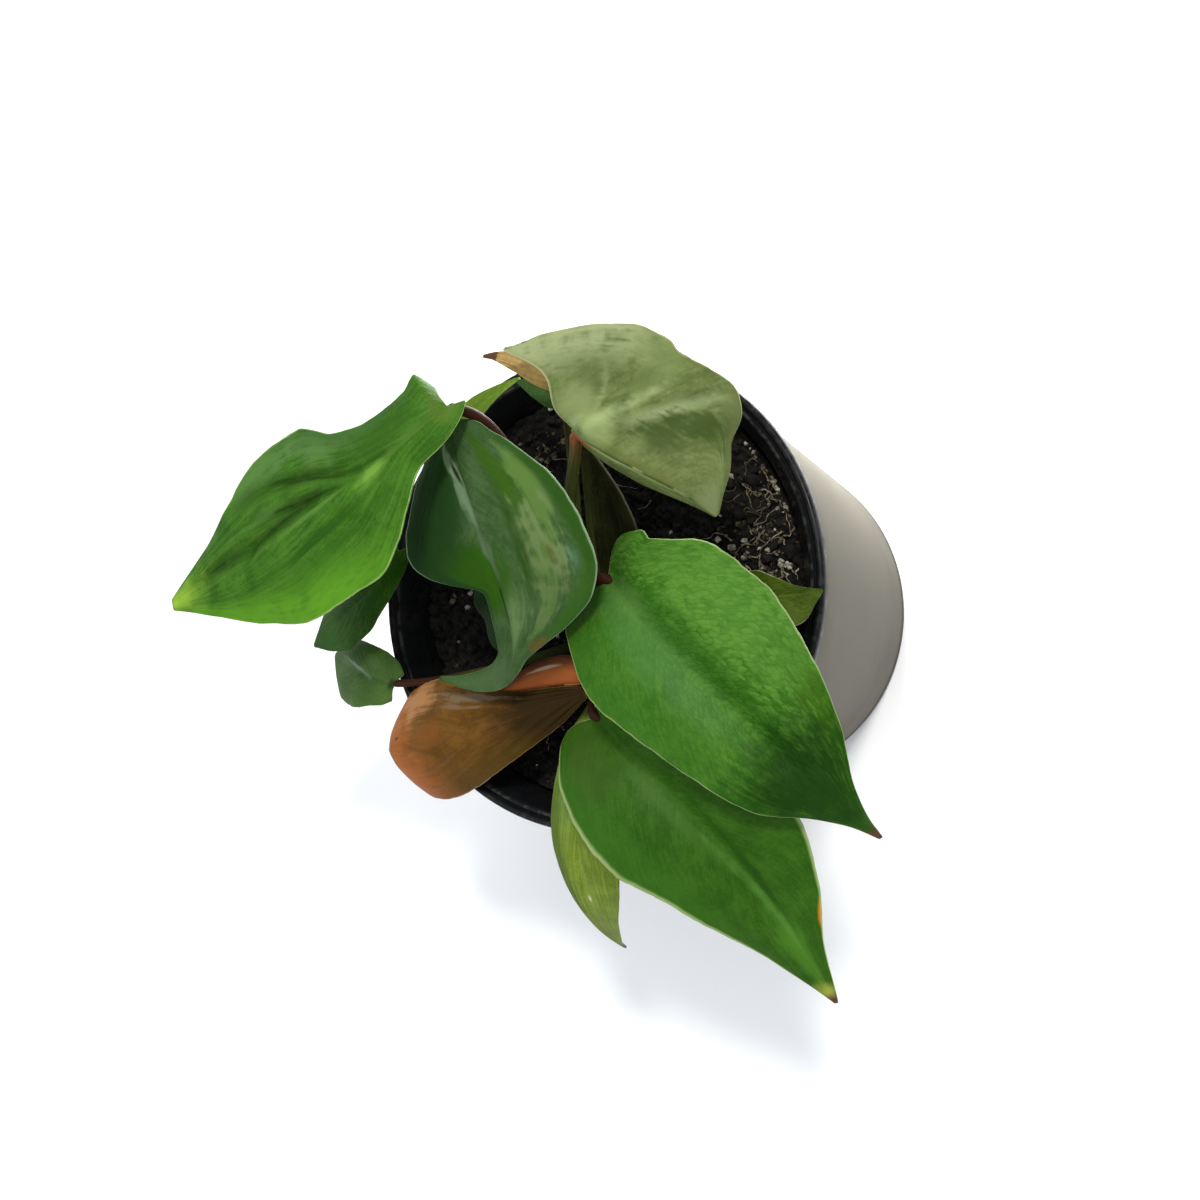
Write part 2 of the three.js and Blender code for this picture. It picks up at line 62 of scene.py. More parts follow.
# A stalk and the rib that it becomes under its blade.
STALK_TAPER = ((0, 0.6, 1), (1.35, 1.1, 0.74))  # places along it, and its radius there in radii
RIB_REACH = (0.03, 0.93)  # where the rib starts and ends along the midrib
RIB_END = 0.22  # the rib's last radius, in millimetres

# Noises of the leaf skin, from large clouds to the finest grain, per metre.
SLOW_NOISE, CLOUD_NOISE, WARP_NOISE, FINE_NOISE = 55.0, 170.0, 420.0, 1300.0
WARP_REACH = 1.1  # how far the small cells are pushed about, in cells
# NET_TONE also sets how strong the painted highlight on each cell's dome is.
NET_TONE = 0.6  # how much lighter or darker one cell may be than the next
SKIN_DEPTH = 0.0003  # depth of the skin's bump, in metres
ROUGH_SPREAD = 0.06  # how far the gloss strays from its middle value

Colour = tuple[float, float, float]
Span = tuple[float, float]
Spot = tuple[float, float, float]
Fold = tuple[float, float, float, float]
Stations = tuple[Span, ...]
Place = Callable[[np.ndarray, np.ndarray], np.ndarray]


class Skin(Enum):
    """The three materials of a blade, in the order of its material slots."""

    UPPER = 0
    UNDER = 1
    MARGIN = 2


class Graph:
    """Short calls for the nodes of one material or node group."""

    def __init__(self, tree: bpy.types.NodeTree) -> None:
        """Keeps the tree.

        Args:
            tree: the node tree that the calls add to.
        """
        self.tree = tree

    def add(self, kind: str, **settings: object) -> bpy.types.Node:
        """Adds a node.

        Args:
            kind: the node's type name.
            settings: its properties.

        Returns:
            The new node.
        """
        node = self.tree.nodes.new(kind)
        for key, value in settings.items():
            setattr(node, key, value)
        return node

    def feed(self, socket: bpy.types.NodeSocket, value: object) -> None:
        """Links a socket, or sets its value.

        Args:
            socket: the input to feed.
            value: another socket, a number or a tuple.
        """
        if isinstance(value, bpy.types.NodeSocket):
            self.tree.links.new(value, socket)
        elif isinstance(value, tuple) and socket.type == "RGBA":
            socket.default_value = (*value[:3], 1.0)
        else:
            socket.default_value = value

    def fill(self, node: bpy.types.Node, values: dict[str, object]) -> bpy.types.NodeOutputs:
        """Feeds several inputs of a node.

        Args:
            node: the node.
            values: a socket, a number or a tuple for each input's name.

        Returns:
            The node's outputs.
        """
        for label, value in values.items():
            self.feed(node.inputs[label], value)
        return node.outputs

    def split(self, place: object) -> bpy.types.NodeOutputs:
        """The X, Y and Z sockets of a vector."""
        return self.fill(self.add("ShaderNodeSeparateXYZ"), {"Vector": place})

    def merge(self, x: object, y: object, z: object = 0.0) -> bpy.types.NodeSocket:
        """The socket of a vector put together from its X, Y and Z."""
        return self.fill(self.add("ShaderNodeCombineXYZ"), {"X": x, "Y": y, "Z": z})[0]

    def group(self, name: str, values: dict[str, object]) -> bpy.types.NodeOutputs:
        """Adds a shared node group on the piece's own places, feeds it and gives its outputs."""
        node = self.add("ShaderNodeGroup", node_tree=bpy.data.node_groups[name])
        places = {"Surface": self.surface_place(), "Place": self.object_place()}
        return self.fill(node, places | values)

    def maths(self, operation: str, first: object, second: object = 0.0) -> bpy.types.NodeSocket:
        """A sum on one or two values.

        Args:
            operation: the Math node's operation.
            first: first value or socket.
            second: second value or socket.

        Returns:
            The result's socket.
        """
        node = self.add("ShaderNodeMath", operation=operation)
        self.feed(node.inputs[0], first)
        self.feed(node.inputs[1], second)
        return node.outputs[0]

    def plus(self, first: object, second: object) -> bpy.types.NodeSocket:
        """The sum of two values."""
        return self.maths("ADD", first, second)

    def minus(self, first: object, second: object) -> bpy.types.NodeSocket:
        """The first value less the second."""
        return self.maths("SUBTRACT", first, second)

    def times(self, first: object, second: object) -> bpy.types.NodeSocket:
        """The product of two values."""
        return self.maths("MULTIPLY", first, second)

    def vector(
        self, operation: str, first: object, second: object = None
    ) -> bpy.types.NodeOutputs:
        """A sum on one or two vectors.

        Args:
            operation: the Vector Math node's operation.
            first: first vector or socket.
            second: second vector or socket.

        Returns:
            The node's outputs, since some sums give a vector and some a value.
        """
        node = self.add("ShaderNodeVectorMath", operation=operation)
        self.feed(node.inputs[0], first)
        if second is not None:
            self.feed(node.inputs[1], second)
        return node.outputs

    def ease(self, value: object, low: object, high: object) -> bpy.types.NodeSocket:
        """A smooth step from 0 at low to 1 at high.

        Args:
            value: the value or socket to step.
            low: where the step starts, a number or a socket.
            high: where it ends, a number or a socket.

        Returns:
            The result's socket.
        """
        node = self.add("ShaderNodeMapRange", interpolation_type="SMOOTHSTEP")
        return self.fill(node, {"Value": value, "From Min": low, "From Max": high})["Result"]

    def blend(
        self, share: object, first: object, second: object, kind: str = "MIX"
    ) -> bpy.types.NodeSocket:
        """A mix of two colours.

        Args:
            share: how much of the second shows.
            first: first colour or socket.
            second: second colour or socket.
            kind: the Mix node's blend type.

        Returns:
            The mixed colour's socket.
        """
        node = self.add("ShaderNodeMix", data_type="RGBA", blend_type=kind)
        self.feed(node.inputs[0], share)
        self.feed(node.inputs[6], first)
        self.feed(node.inputs[7], second)
        return node.outputs[2]

    def noise(self, place: object, scale: float, detail: float = 3.0) -> bpy.types.NodeSocket:
        """Soft noise between 0 and 1.

        Args:
            place: the coordinates' socket.
            scale: how fine the noise is.
            detail: how many finer layers it has.

        Returns:
            The noise's value socket.
        """
        node = self.add("ShaderNodeTexNoise")
        return self.fill(node, {"Vector": place, "Scale": scale, "Detail": detail})["Fac"]

    def object_place(self) -> bpy.types.NodeSocket:
        """The piece's own coordinates, in metres."""
        return self.add("ShaderNodeTexCoord").outputs["Object"]

    def surface_place(self) -> bpy.types.NodeSocket:
        """The piece's UV map."""
        return self.add("ShaderNodeUVMap", uv_map="UVMap").outputs["UV"]


def new_group(
    name: str, inputs: Sequence[tuple[str, str]], outputs: Sequence[tuple[str, str]]
) -> Graph:
    """Starts a node group with named sockets.

    Args:
        name: the group's name.
        inputs: name and socket kind of each input.
        outputs: name and socket kind of each output.

    Returns:
        The group's graph, with its input and output nodes in place.
    """
    tree = bpy.data.node_groups.new(name, "ShaderNodeTree")
    for way, sockets in (("INPUT", inputs), ("OUTPUT", outputs)):
        for label, kind in sockets:
            tree.interface.new_socket(name=label, in_out=way, socket_type=f"NodeSocket{kind}")
    graph = Graph(tree)
    graph.add("NodeGroupInput")
    graph.add("NodeGroupOutput")
    return graph


def group_ends(graph: Graph) -> tuple[bpy.types.bpy_prop_collection, bpy.types.bpy_prop_collection]:
    """The sockets inside a group.

    Args:
        graph: the group's graph.

    Returns:
        The sockets that bring the group's inputs, and those that take its outputs.
    """
    nodes = graph.tree.nodes
    return nodes["Group Input"].outputs, nodes["Group Output"].inputs


# What a blade's finish tells the shared skin, under the names of its own values.
SKIN_COLOURS = ("Deep", "Light", "Vein", "Rib")
SKIN_VALUES = (
    "Along", "Across", "Net Along", "Net Out", "Net Share", "Net Lean", "Vein Share",
    "Streak", "Rib Share", "Rib Width", "Margin Width", "Tip Start",
)


def leaf_skin_group() -> None:
    """Makes the veined skin that every leaf blade shares.

    It gives the lamina's colour and tone, its height for bump, and the margin's and tip's masks.
    """
    graph = new_group(
        "leaf_skin",
        [("Surface", "Vector"), ("Place", "Vector")]
        + [(label, "Color") for label in SKIN_COLOURS]
        + [(label, "Float") for label in SKIN_VALUES],
        [("Colour", "Color")] + [(label, "Float") for label in ("Height", "Margin", "Tip", "Tone")],
    )
    given, wanted = group_ends(graph)
    surface = graph.split(given["Surface"])
    side = graph.minus(graph.times(surface["X"], 2.0), 1.0)
    out = graph.maths("ABSOLUTE", side)
    along = surface["Y"]
    slow = graph.noise(given["Place"], SLOW_NOISE, 2.0)
    fine = graph.noise(given["Place"], FINE_NOISE, 3.0)
    cloud = graph.noise(given["Place"], CLOUD_NOISE, 4.0)

    # Side veins: bright lines where the phase passes its half-way point.
    on_left = graph.maths("LESS_THAN", side, 0.0)
    shift = graph.plus(graph.times(slow, 0.5), graph.times(on_left, HALF_SHIFT))
    sweep = graph.times(given["Across"], graph.maths("POWER", out, VEIN_CURVE))
    phase = graph.plus(graph.minus(graph.times(given["Along"], along), sweep), shift)
    off_line = graph.maths("ABSOLUTE", graph.minus(graph.maths("FRACT", phase), 0.5))
    vein = graph.times(graph.ease(graph.times(off_line, 2.0), 0.7, 1.0), graph.ease(out, 1.0, 0.75))

    # Net: small warped cells between the veins, each with its own tone and a painted highlight on
    # its soft dome, with painted shade in the sunken lines between them.
    warp = graph.times(graph.minus(graph.noise(given["Place"], WARP_NOISE, 3.0), 0.5), WARP_REACH)
    cell_place = graph.merge(
        graph.plus(graph.times(phase, given["Net Along"]), warp),
        graph.minus(graph.times(out, given["Net Out"]), warp),
    )
    lean = graph.times(given["Net Lean"], graph.ease(side, -0.25, 0.25))
    net_share = graph.times(given["Net Share"], graph.minus(1.0, lean))
    edge = graph.add("ShaderNodeTexVoronoi", voronoi_dimensions="2D", feature="DISTANCE_TO_EDGE")
    edge_reach = graph.fill(edge, {"Vector": cell_place, "Scale": 1.0})["Distance"]
    net = graph.ease(edge_reach, 0.13, 0.0)
    cell = graph.add("ShaderNodeTexVoronoi", voronoi_dimensions="2D", feature="SMOOTH_F1")
    cells = graph.fill(cell, {"Vector": cell_place, "Scale": 1.0, "Smoothness": 0.35})
    luck = graph.fill(graph.add("ShaderNodeSeparateColor"), {"Color": cells["Color"]})[0]
    dome = graph.minus(0.9, graph.times(cells["Distance"], 1.6))
    dome = graph.plus(graph.minus(luck, 0.5), graph.times(dome, 0.4))
    cell_tone = graph.times(dome, graph.times(net_share, NET_TONE))

    # Tone: clouds, grain, cells and streaks along the veins choose between deep and light.
    tone = graph.plus(graph.times(cloud, 1.2), graph.times(fine, 0.7))
    tone = graph.plus(graph.minus(tone, 0.475), cell_tone)
    run = graph.merge(graph.times(phase, 5.0), graph.times(out, 2.5), graph.times(side, 0.3))
    streak = graph.minus(graph.noise(run, 2.2, 5.0), 0.5)
    tone = graph.plus(tone, graph.times(streak, graph.times(given["Streak"], 3.0)))
    lamina = graph.blend(graph.ease(tone, 0.1, 0.95), given["Deep"], given["Light"])
    lamina = graph.blend(graph.times(vein, given["Vein Share"]), lamina, given["Vein"])
    # Painted shade in the sunken lines of the net.
    lamina = graph.blend(graph.times(net, graph.times(net_share, 0.28)), lamina, given["Deep"])
    rib = graph.minus(1.0, graph.ease(out, 0.0, given["Rib Width"]))
    lamina = graph.blend(graph.times(rib, given["Rib Share"]), lamina, given["Rib"])
    height = graph.minus(graph.times(fine, 0.25), graph.times(vein, 0.5))
    height = graph.minus(height, graph.times(net, net_share))

    # Masks of the pale margin and of the dry tip, both a little ragged.
    ragged = graph.times(graph.minus(cloud, 0.5), 0.02)
    margin = graph.ease(graph.plus(out, ragged), graph.minus(1.0, given["Margin Width"]), 1.0)
    base = graph.ease(along, 0.005, 0.0)
    tip_end = graph.plus(given["Tip Start"], 0.02)
    results = {
        "Colour": lamina,
        "Height": height,
        "Margin": graph.maths("MAXIMUM", margin, base),
        "Tip": graph.ease(graph.plus(along, ragged), given["Tip Start"], tip_end),
        "Tone": tone,
    }
    for label, result in results.items():
        graph.feed(wanted[label], result)


def soft_patch_group() -> None:
    """Makes a soft, slightly ragged oval of another colour, laid over the given colour."""
    graph = new_group(
        "soft_patch",
        [("Colour", "Color"), ("Tint", "Color")]
        + [(label, "Vector") for label in ("Surface", "Place", "Centre", "Size")]
        + [(label, "Float") for label in ("Turn", "Strength", "Ragged", "Edge")],
        [("Colour", "Color")],
    )
    given, wanted = group_ends(graph)
    offset = graph.vector("SUBTRACT", given["Surface"], given["Centre"])["Vector"]
    turned = graph.add("ShaderNodeVectorRotate", rotation_type="Z_AXIS")
    turned_place = graph.fill(turned, {"Vector": offset, "Angle": given["Turn"]})["Vector"]
    scaled = graph.vector("DIVIDE", turned_place, given["Size"])["Vector"]
    reach = graph.vector("LENGTH", scaled)["Value"]
    drawn = graph.vector("MULTIPLY", given["Surface"], (40.0, 8.0, 0.0))["Vector"]
    grain = graph.plus(graph.noise(given["Place"], 260.0, 5.0), graph.noise(drawn, 1.0, 5.0))
    grain = graph.times(graph.minus(grain, 1.0), given["Ragged"])
    share = graph.minus(1.0, graph.ease(graph.plus(reach, grain), given["Edge"], 1.0))
    share = graph.times(share, given["Strength"])
    graph.feed(wanted["Colour"], graph.blend(share, given["Colour"], given["Tint"]))


def new_material(name: str) -> tuple[bpy.types.Material, Graph, bpy.types.Node]:
    """Starts a material.

    Args:
        name: the material's name.

    Returns:
        The material, its graph and its Principled BSDF.
    """
    material = bpy.data.materials.new(name)
    material.use_nodes = True
    return material, Graph(material.node_tree), material.node_tree.nodes["Principled BSDF"]


def add_bump(
    graph: Graph, shader: bpy.types.Node, height: object, strength: float, depth: float
) -> None:
    """Turns a height into the shader's normal.

    Args:
        graph: the material's graph.
        shader: its Principled BSDF.
        height: the height's socket.
        strength: the bump's strength.
        depth: the bump's depth in metres.
    """
    bump = graph.add("ShaderNodeBump")
    normal = graph.fill(bump, {"Strength": strength, "Distance": depth, "Height": height})[0]
    graph.feed(shader.inputs["Normal"], normal)


@dataclass(frozen=True)
class Patch:
    """A soft mark on a blade: some are the blade's own colour, and many are painted light and
    shade.

    Side runs from -1 at the left margin to 1 at the right, and along from 0 at the stalk to 1.
    """

    side: float
    along: float
    wide: float
    long: float
    tint: Colour
    strength: float = 0.8
    turn: float = 0.0
    ragged: float = 0.5
    edge: float = 0.25

    def values(self) -> dict[str, object]:
        """The mark's inputs for the shared patch group."""
        return {
            "Centre": ((self.side + 1) / 2, self.along, 0),
            "Size": (self.wide / 2, self.long, 1),
            "Turn": math.radians(self.turn),
            "Tint": self.tint,
            "Strength": self.strength,
            "Ragged": self.ragged,
            "Edge": self.edge,
        }


def stroke(
    start: Span,
    end: Span,
    wide: float,
    tint: Colour,
    strength: float = 0.8,
    ragged: float = 0.6,
    edge: float = 0.25,
) -> Patch:
    """A long thin mark between two (side, along) places.

    Args:
        start: one end.
        end: the other end.
        wide: half its width, in the unit of side.
        tint: its colour.
        strength: how much of its colour shows.
        ragged: how uneven its edge is.
        edge: where its fall-off starts, from its middle at 0 to its rim at 1.

    Returns:
        The mark.
    """
    across, along = (end[0] - start[0]) / 2, end[1] - start[1]
    middle = ((start[0] + end[0]) / 2, (start[1] + end[1]) / 2)
    turn = 90 - math.degrees(math.atan2(along, across))
    return Patch(*middle, wide, 0.7 * math.hypot(across, along), tint, strength, turn, ragged, edge)


@dataclass(frozen=True)
class LeafFinish:
    """Colours and marks of one blade, painted light and shade among them."""

    deep: Colour
    light: Colour
    vein: Colour
    rib: Colour
    margin: Colour
    under: Colour
    tip: Colour = (0.1, 0.045, 0.02)
    along: float = 11.0
    across: float = 5.0
    net_along: float = 3.0
    net_out: float = 10.0
    vein_share: float = 0.25
    net_share: float = 0.3
    net_lean: float = 0.0
    streak: float = 0.3
    rib_share: float = 0.3
    rib_width: float = 0.05
    margin_width: float = 0.025
    tip_start: float = 1.1
    roughness: float = 0.48
    shine: float = 0.06
    bump: float = 0.3
    patches: tuple[Patch, ...] = ()
    under_shade: float = 0.72  # the darker colour of the underside, as a share of the paler one
    rim_shade: float = 0.55  # the same for the margin

    def skin(self, graph: Graph, deep: Colour, light: Colour) -> bpy.types.NodeOutputs:
        """Adds the shared skin group to a material.

        Args:
            graph: the material's graph.
            deep: darker colour of the lamina.
            light: lighter colour of the lamina.

        Returns:
            The group's outputs.
        """
        own = {label: getattr(self, label.lower().replace(" ", "_")) for label in SKIN_VALUES}
        colours = {"Deep": deep, "Light": light, "Vein": self.vein, "Rib": self.rib}
        return graph.group("leaf_skin", own | colours)

    def upper(self, name: str) -> bpy.types.Material:
        """Makes the upper face's material.

        Args:
            name: the blade's name.

        Returns:
            The material.
        """
        material, graph, shader = new_material(f"{name}_upper")
        skin = self.skin(graph, self.deep, self.light)
        colour = skin["Colour"]
        for patch in self.patches:
            colour = graph.group("soft_patch", {"Colour": colour} | patch.values())["Colour"]
        colour = graph.blend(skin["Margin"], colour, self.margin)
        graph.feed(shader.inputs["Base Color"], graph.blend(skin["Tip"], colour, self.tip))
        rough = {
            "Value": skin["Tone"],
            "To Min": self.roughness + ROUGH_SPREAD,
            "To Max": self.roughness - ROUGH_SPREAD,
        }
        rough = graph.fill(graph.add("ShaderNodeMapRange"), rough)["Result"]
        graph.fill(shader, {"Roughness": rough, "Specular IOR Level": self.shine})
        add_bump(graph, shader, skin["Height"], self.bump, SKIN_DEPTH)
        return material

    def lower(self, name: str) -> bpy.types.Material:
        """Makes the underside's material.

        Args:
            name: the blade's name.

        Returns:
            The material.
        """
        material, graph, shader = new_material(f"{name}_under")
        skin = self.skin(graph, tuple(self.under_shade * part for part in self.under), self.under)
        colour = graph.blend(skin["Margin"], skin["Colour"], self.margin)
        colour = graph.blend(skin["Tip"], colour, self.tip)
        graph.fill(shader, {"Base Color": colour, "Roughness": 0.6, "Specular IOR Level": 0.25})
        add_bump(graph, shader, graph.times(skin["Height"], -1.0), self.bump, SKIN_DEPTH)
        return material

    def rim(self, name: str) -> bpy.types.Material:
        """Makes the margin's material.

        Args:
            name: the blade's name.

        Returns:
            The material.
        """
        material, graph, shader = new_material(f"{name}_margin")
        grain = graph.ease(graph.noise(graph.object_place(), 700.0, 2.0), 0.35, 0.6)
        dark = tuple(self.rim_shade * part for part in self.margin)
        colour = graph.blend(grain, dark, self.margin)
        skin = self.skin(graph, self.deep, self.light)
        colour = graph.blend(skin["Tip"], colour, self.tip)
        graph.fill(shader, {"Base Color": colour, "Roughness": 0.5})
        return material


@dataclass(frozen=True)
class StalkFinish:
    """Colours of a round stalk, from its foot to its blade and on along the rib under the blade.

    Each reach says where along the stalk a colour takes over. The neck keeps its bright colour only
    on the stalks at the back right, beyond the given x and y in metres; on the others it is
    darkened as painted shade.
    """

    foot: Colour = (0.02, 0.018, 0.007)
    middle: Colour = (0.05, 0.062, 0.014)
    neck: Colour = (0.2, 0.062, 0.024)
    # This neck colour is painted shade: the bright neck darkened for the stalks away from the back
    # right.
    shaded_neck: Colour = (0.04, 0.014, 0.008)
    rib: Colour = (0.16, 0.22, 0.07)
    lines: Colour = (0.6, 0.55, 0.5)
    middle_reach: Span = (0.03, 0.22)
    shaded_neck_reach: Span = (0.27, 0.38)
    neck_reach: Span = (0.4, 0.5)
    rib_reach: Span = (0.52, 0.6)
    back_x: Span = (0.0, 0.006)
    back_y: Span = (0.01, 0.02)

    def material(self, name: str) -> bpy.types.Material:
        """Makes the stalk's material.

        Args:
            name: the material's name.

        Returns:
            The material.
        """
        material, graph, shader = new_material(name)
        surface, place = graph.split(graph.surface_place()), graph.split(graph.object_place())
        along = surface["Y"]
        streak = graph.merge(graph.times(surface["X"], 14.0), graph.times(along, 5.0))
        lines = graph.noise(streak, 1.6, 3.0)
        back_x, back_y = graph.ease(place["X"], *self.back_x), graph.ease(place["Y"], *self.back_y)
        back = graph.times(back_x, back_y)
        # Painted shade on the necks away from the back right; the bright neck only at the back
        # right.
        neck_shade = graph.times(graph.ease(along, *self.shaded_neck_reach), graph.minus(1.0, back))
        bright = graph.times(graph.ease(along, *self.neck_reach), back)
        colour = graph.blend(graph.ease(along, *self.middle_reach), self.foot, self.middle)
        colour = graph.blend(neck_shade, colour, self.shaded_neck)
        colour = graph.blend(bright, colour, self.neck)
        colour = graph.blend(graph.ease(along, *self.rib_reach), colour, self.rib)
        colour = graph.blend(graph.ease(lines, 0.35, 0.7), colour, self.lines, "MULTIPLY")
        graph.fill(shader, {"Base Color": colour, "Roughness": 0.45, "Specular IOR Level": 0.06})
        add_bump(graph, shader, lines, 0.35, SKIN_DEPTH)
        return material


@dataclass(frozen=True)
class CoverFinish:
    """Matt pale grey of the cover pot, a little stained and scuffed, with painted contact shade at
    its foot.
    """

    body: Colour = (0.146, 0.136, 0.108)
    stain: Colour = (0.116, 0.105, 0.08)
    # Painted contact shade at the base of the wall.
    foot: Colour = (0.036, 0.032, 0.029)
    speck: Colour = (0.17, 0.155, 0.14)
    foot_shade_reach: Span = (0.0055, 0.003)
    cloud_scale: float = 26.0
    grain_scale: float = 1500.0
    speck_scale: float = 42.0
    roughness: float = 0.72
    shine: float = 0.22

    def material(self) -> bpy.types.Material:
        """Makes the material."""
        material, graph, shader = new_material("cover_pot_matt")
        place = graph.object_place()
        cloud = graph.noise(place, self.cloud_scale, 5.0)
        grain = graph.noise(place, self.grain_scale, 2.0)
        colour = graph.blend(graph.ease(cloud, 0.4, 0.8), self.body, self.stain)
        # Painted contact shade: the wall darkens towards its foot.
        foot = graph.ease(graph.split(place)["Z"], *self.foot_shade_reach)
        colour = graph.blend(graph.times(foot, 0.8), colour, self.foot)
        dots = {"Vector": place, "Scale": self.speck_scale}
        specks = graph.fill(graph.add("ShaderNodeTexVoronoi"), dots)
        speck = graph.ease(specks["Distance"], 0.05, 0.02)
        colour = graph.blend(graph.times(speck, 0.75), colour, self.speck)
        rough = graph.plus(graph.times(cloud, 0.2), self.roughness)
        look = {"Base Color": colour, "Roughness": rough, "Specular IOR Level": self.shine}
        graph.fill(shader, look)
        add_bump(graph, shader, graph.plus(grain, graph.times(cloud, 1.5)), 0.25, 0.0002)
        return material


@dataclass(frozen=True)
class NurseryFinish:
    """Thin black moulded plastic with peat dust and splashes below a height.

    Its pale edges are partly wear and partly painted highlight.
    """

    body: Colour = (0.005, 0.0055, 0.006)
    rubbed_and_highlight: Colour = (0.1, 0.1, 0.1)
    dust: Colour = (0.025, 0.022, 0.018)
    splash: Colour = (0.0035, 0.003, 0.0025)
    splash_reach: Span = (0.106, 0.1)
    cloud_scale: float = 60.0
    fleck_scale: float = 420.0
    drop_scale: float = 260.0
    roughness: float = 0.08
    shine: float = 0.12

    def material(self) -> bpy.types.Material:
        """Makes the material."""
        material, graph, shader = new_material("nursery_pot_plastic")
        place = graph.object_place()
        cloud = graph.noise(place, self.cloud_scale, 5.0)
        flecks = graph.noise(place, self.fleck_scale, 3.0)
        bent = graph.add("ShaderNodeNewGeometry").outputs["Pointiness"]
        # Pale convex edges: partly wear, partly painted highlight along the rim's ridges.
        wear_and_highlight = graph.times(graph.ease(bent, 0.53, 0.6), graph.ease(flecks, 0.5, 0.58))
        colour = graph.blend(graph.times(wear_and_highlight, 0.8), self.body, self.rubbed_and_highlight)
        dusty = graph.times(graph.ease(cloud, 0.5, 0.75), graph.ease(flecks, 0.45, 0.6))
        colour = graph.blend(graph.times(dusty, 0.5), colour, self.dust)
        height = graph.plus(graph.split(place)["Z"], graph.times(cloud, 0.012))
        drops = graph.ease(graph.noise(place, self.drop_scale, 4.0), 0.4, 0.56)
        splash = graph.times(graph.ease(height, *self.splash_reach), drops)
        colour = graph.blend(graph.times(splash, 0.85), colour, self.splash)
        rough = graph.plus(graph.times(flecks, 0.5), self.roughness)
        rough = graph.plus(rough, graph.times(splash, 0.35))
        look = {"Base Color": colour, "Roughness": rough, "Specular IOR Level": self.shine}
        graph.fill(shader, look)
        lumps = graph.plus(graph.plus(flecks, cloud), graph.times(splash, 4.0))
        add_bump(graph, shader, lumps, 0.3, 0.0002)
        return material


@dataclass(frozen=True)
class GrainFinish:
    """Rough matter in the soil: peat, perlite, bark or dry fibre."""

    name: str
    dark: Colour
    pale: Colour
    scale: float = 700.0
    roughness: float = 0.9
    bump: float = 0.8

    def material(self) -> bpy.types.Material:
        """Makes the material."""
        material, graph, shader = new_material(self.name)
        place = graph.object_place()
        grain = graph.noise(place, self.scale, 4.0)
        cloud = graph.noise(place, self.scale / 9, 3.0)
        tone = graph.plus(graph.times(grain, 0.6), graph.times(cloud, 0.4))
        colour = graph.blend(graph.ease(tone, 0.38, 0.66), self.dark, self.pale)
        look = {"Base Color": colour, "Roughness": self.roughness, "Specular IOR Level": 0.2}
        graph.fill(shader, look)
        add_bump(graph, shader, grain, self.bump, 0.0006)
        return material


def fade(value: np.ndarray, rate: float) -> np.ndarray:
    """A ramp from 0 that reaches 1 where the value times the rate does."""
    return np.clip(value * rate, 0, 1)


def steady(stations: Stations, along: np.ndarray) -> np.ndarray:
    """A smooth curve through (place, value) pairs that never overshoots them.

    Args:
        stations: the pairs, in rising order.
        along: where the curve is wanted.

    Returns:
        The curve's values.
    """
    place, value = np.array(stations, float).T
    step = np.diff(place)
    slope = np.diff(value) / step
    bend = np.empty(len(place))
    bend[0], bend[-1] = slope[0], slope[-1]
    for i in range(1, len(place) - 1):
        first, second = 2 * step[i] + step[i - 1], step[i] + 2 * step[i - 1]
        alike = slope[i - 1] * slope[i] > 0
        bend[i] = (first + second) / (first / slope[i - 1] + second / slope[i]) if alike else 0.0
    i = np.clip(np.searchsorted(place, along) - 1, 0, len(step) - 1)
    u = (along - place[i]) / step[i]
    return (
        (2 * u**3 - 3 * u**2 + 1) * value[i]
        + (u**3 - 2 * u**2 + u) * step[i] * bend[i]
        + (3 * u**2 - 2 * u**3) * value[i + 1]
        + (u**3 - u**2) * step[i] * bend[i + 1]
    )


def bezier(controls: Sequence[Sequence[float]], along: np.ndarray) -> tuple[np.ndarray, np.ndarray]:
    """Points and directions of a cubic curve.

    Args:
        controls: its four control points.
        along: where on the curve, from 0 to 1.

    Returns:
        The points, and the unit directions.
    """
    a, b, c, d = (np.array(p, float) for p in controls)
    t = np.asarray(along, float)[..., None]
    at = (1 - t) ** 3 * a + 3 * (1 - t) ** 2 * t * b + 3 * (1 - t) * t**2 * c + t**3 * d
    way = 3 * (1 - t) ** 2 * (b - a) + 6 * (1 - t) * t * (c - b) + 3 * t**2 * (d - c)
    return at, unit(way)


def unit(vectors: np.ndarray) -> np.ndarray:
    """The vectors at length one."""
    return vectors / np.linalg.norm(vectors, axis=-1, keepdims=True)


def deselect() -> None:
    """Leaves nothing selected, so that the next operator acts on its own piece."""
    if bpy.context.object and bpy.context.object.mode != "OBJECT":
        bpy.ops.object.mode_set(mode="OBJECT")
    bpy.ops.object.select_all(action="DESELECT")


def choose(piece: bpy.types.Object) -> None:
    """Makes one piece the active and only selected one.

    Args:
        piece: the piece.
    """
    deselect()
    piece.select_set(True)
    bpy.context.view_layer.objects.active = piece


def apply_modifier(piece: bpy.types.Object, kind: str, **settings: object) -> None:
    """Adds a modifier and applies it.

    Args:
        piece: the piece.
        kind: the modifier's type.
        settings: its properties.
    """
    choose(piece)
    modifier = piece.modifiers.new(kind.title(), kind)
    for key, value in settings.items():
        setattr(modifier, key, value)
    bpy.ops.object.modifier_apply(modifier=modifier.name)


def close_up() -> None:
    """Turns the edited mesh's faces outwards and goes back to object mode."""
    bpy.ops.mesh.select_all(action="SELECT")
    bpy.ops.mesh.normals_make_consistent(inside=False)
    bpy.ops.object.mode_set(mode="OBJECT")


def coat(piece: bpy.types.Object, material: bpy.types.Material) -> None:
    """Gives a piece one material and no other."""
    piece.data.materials.clear()
    piece.data.materials.append(material)


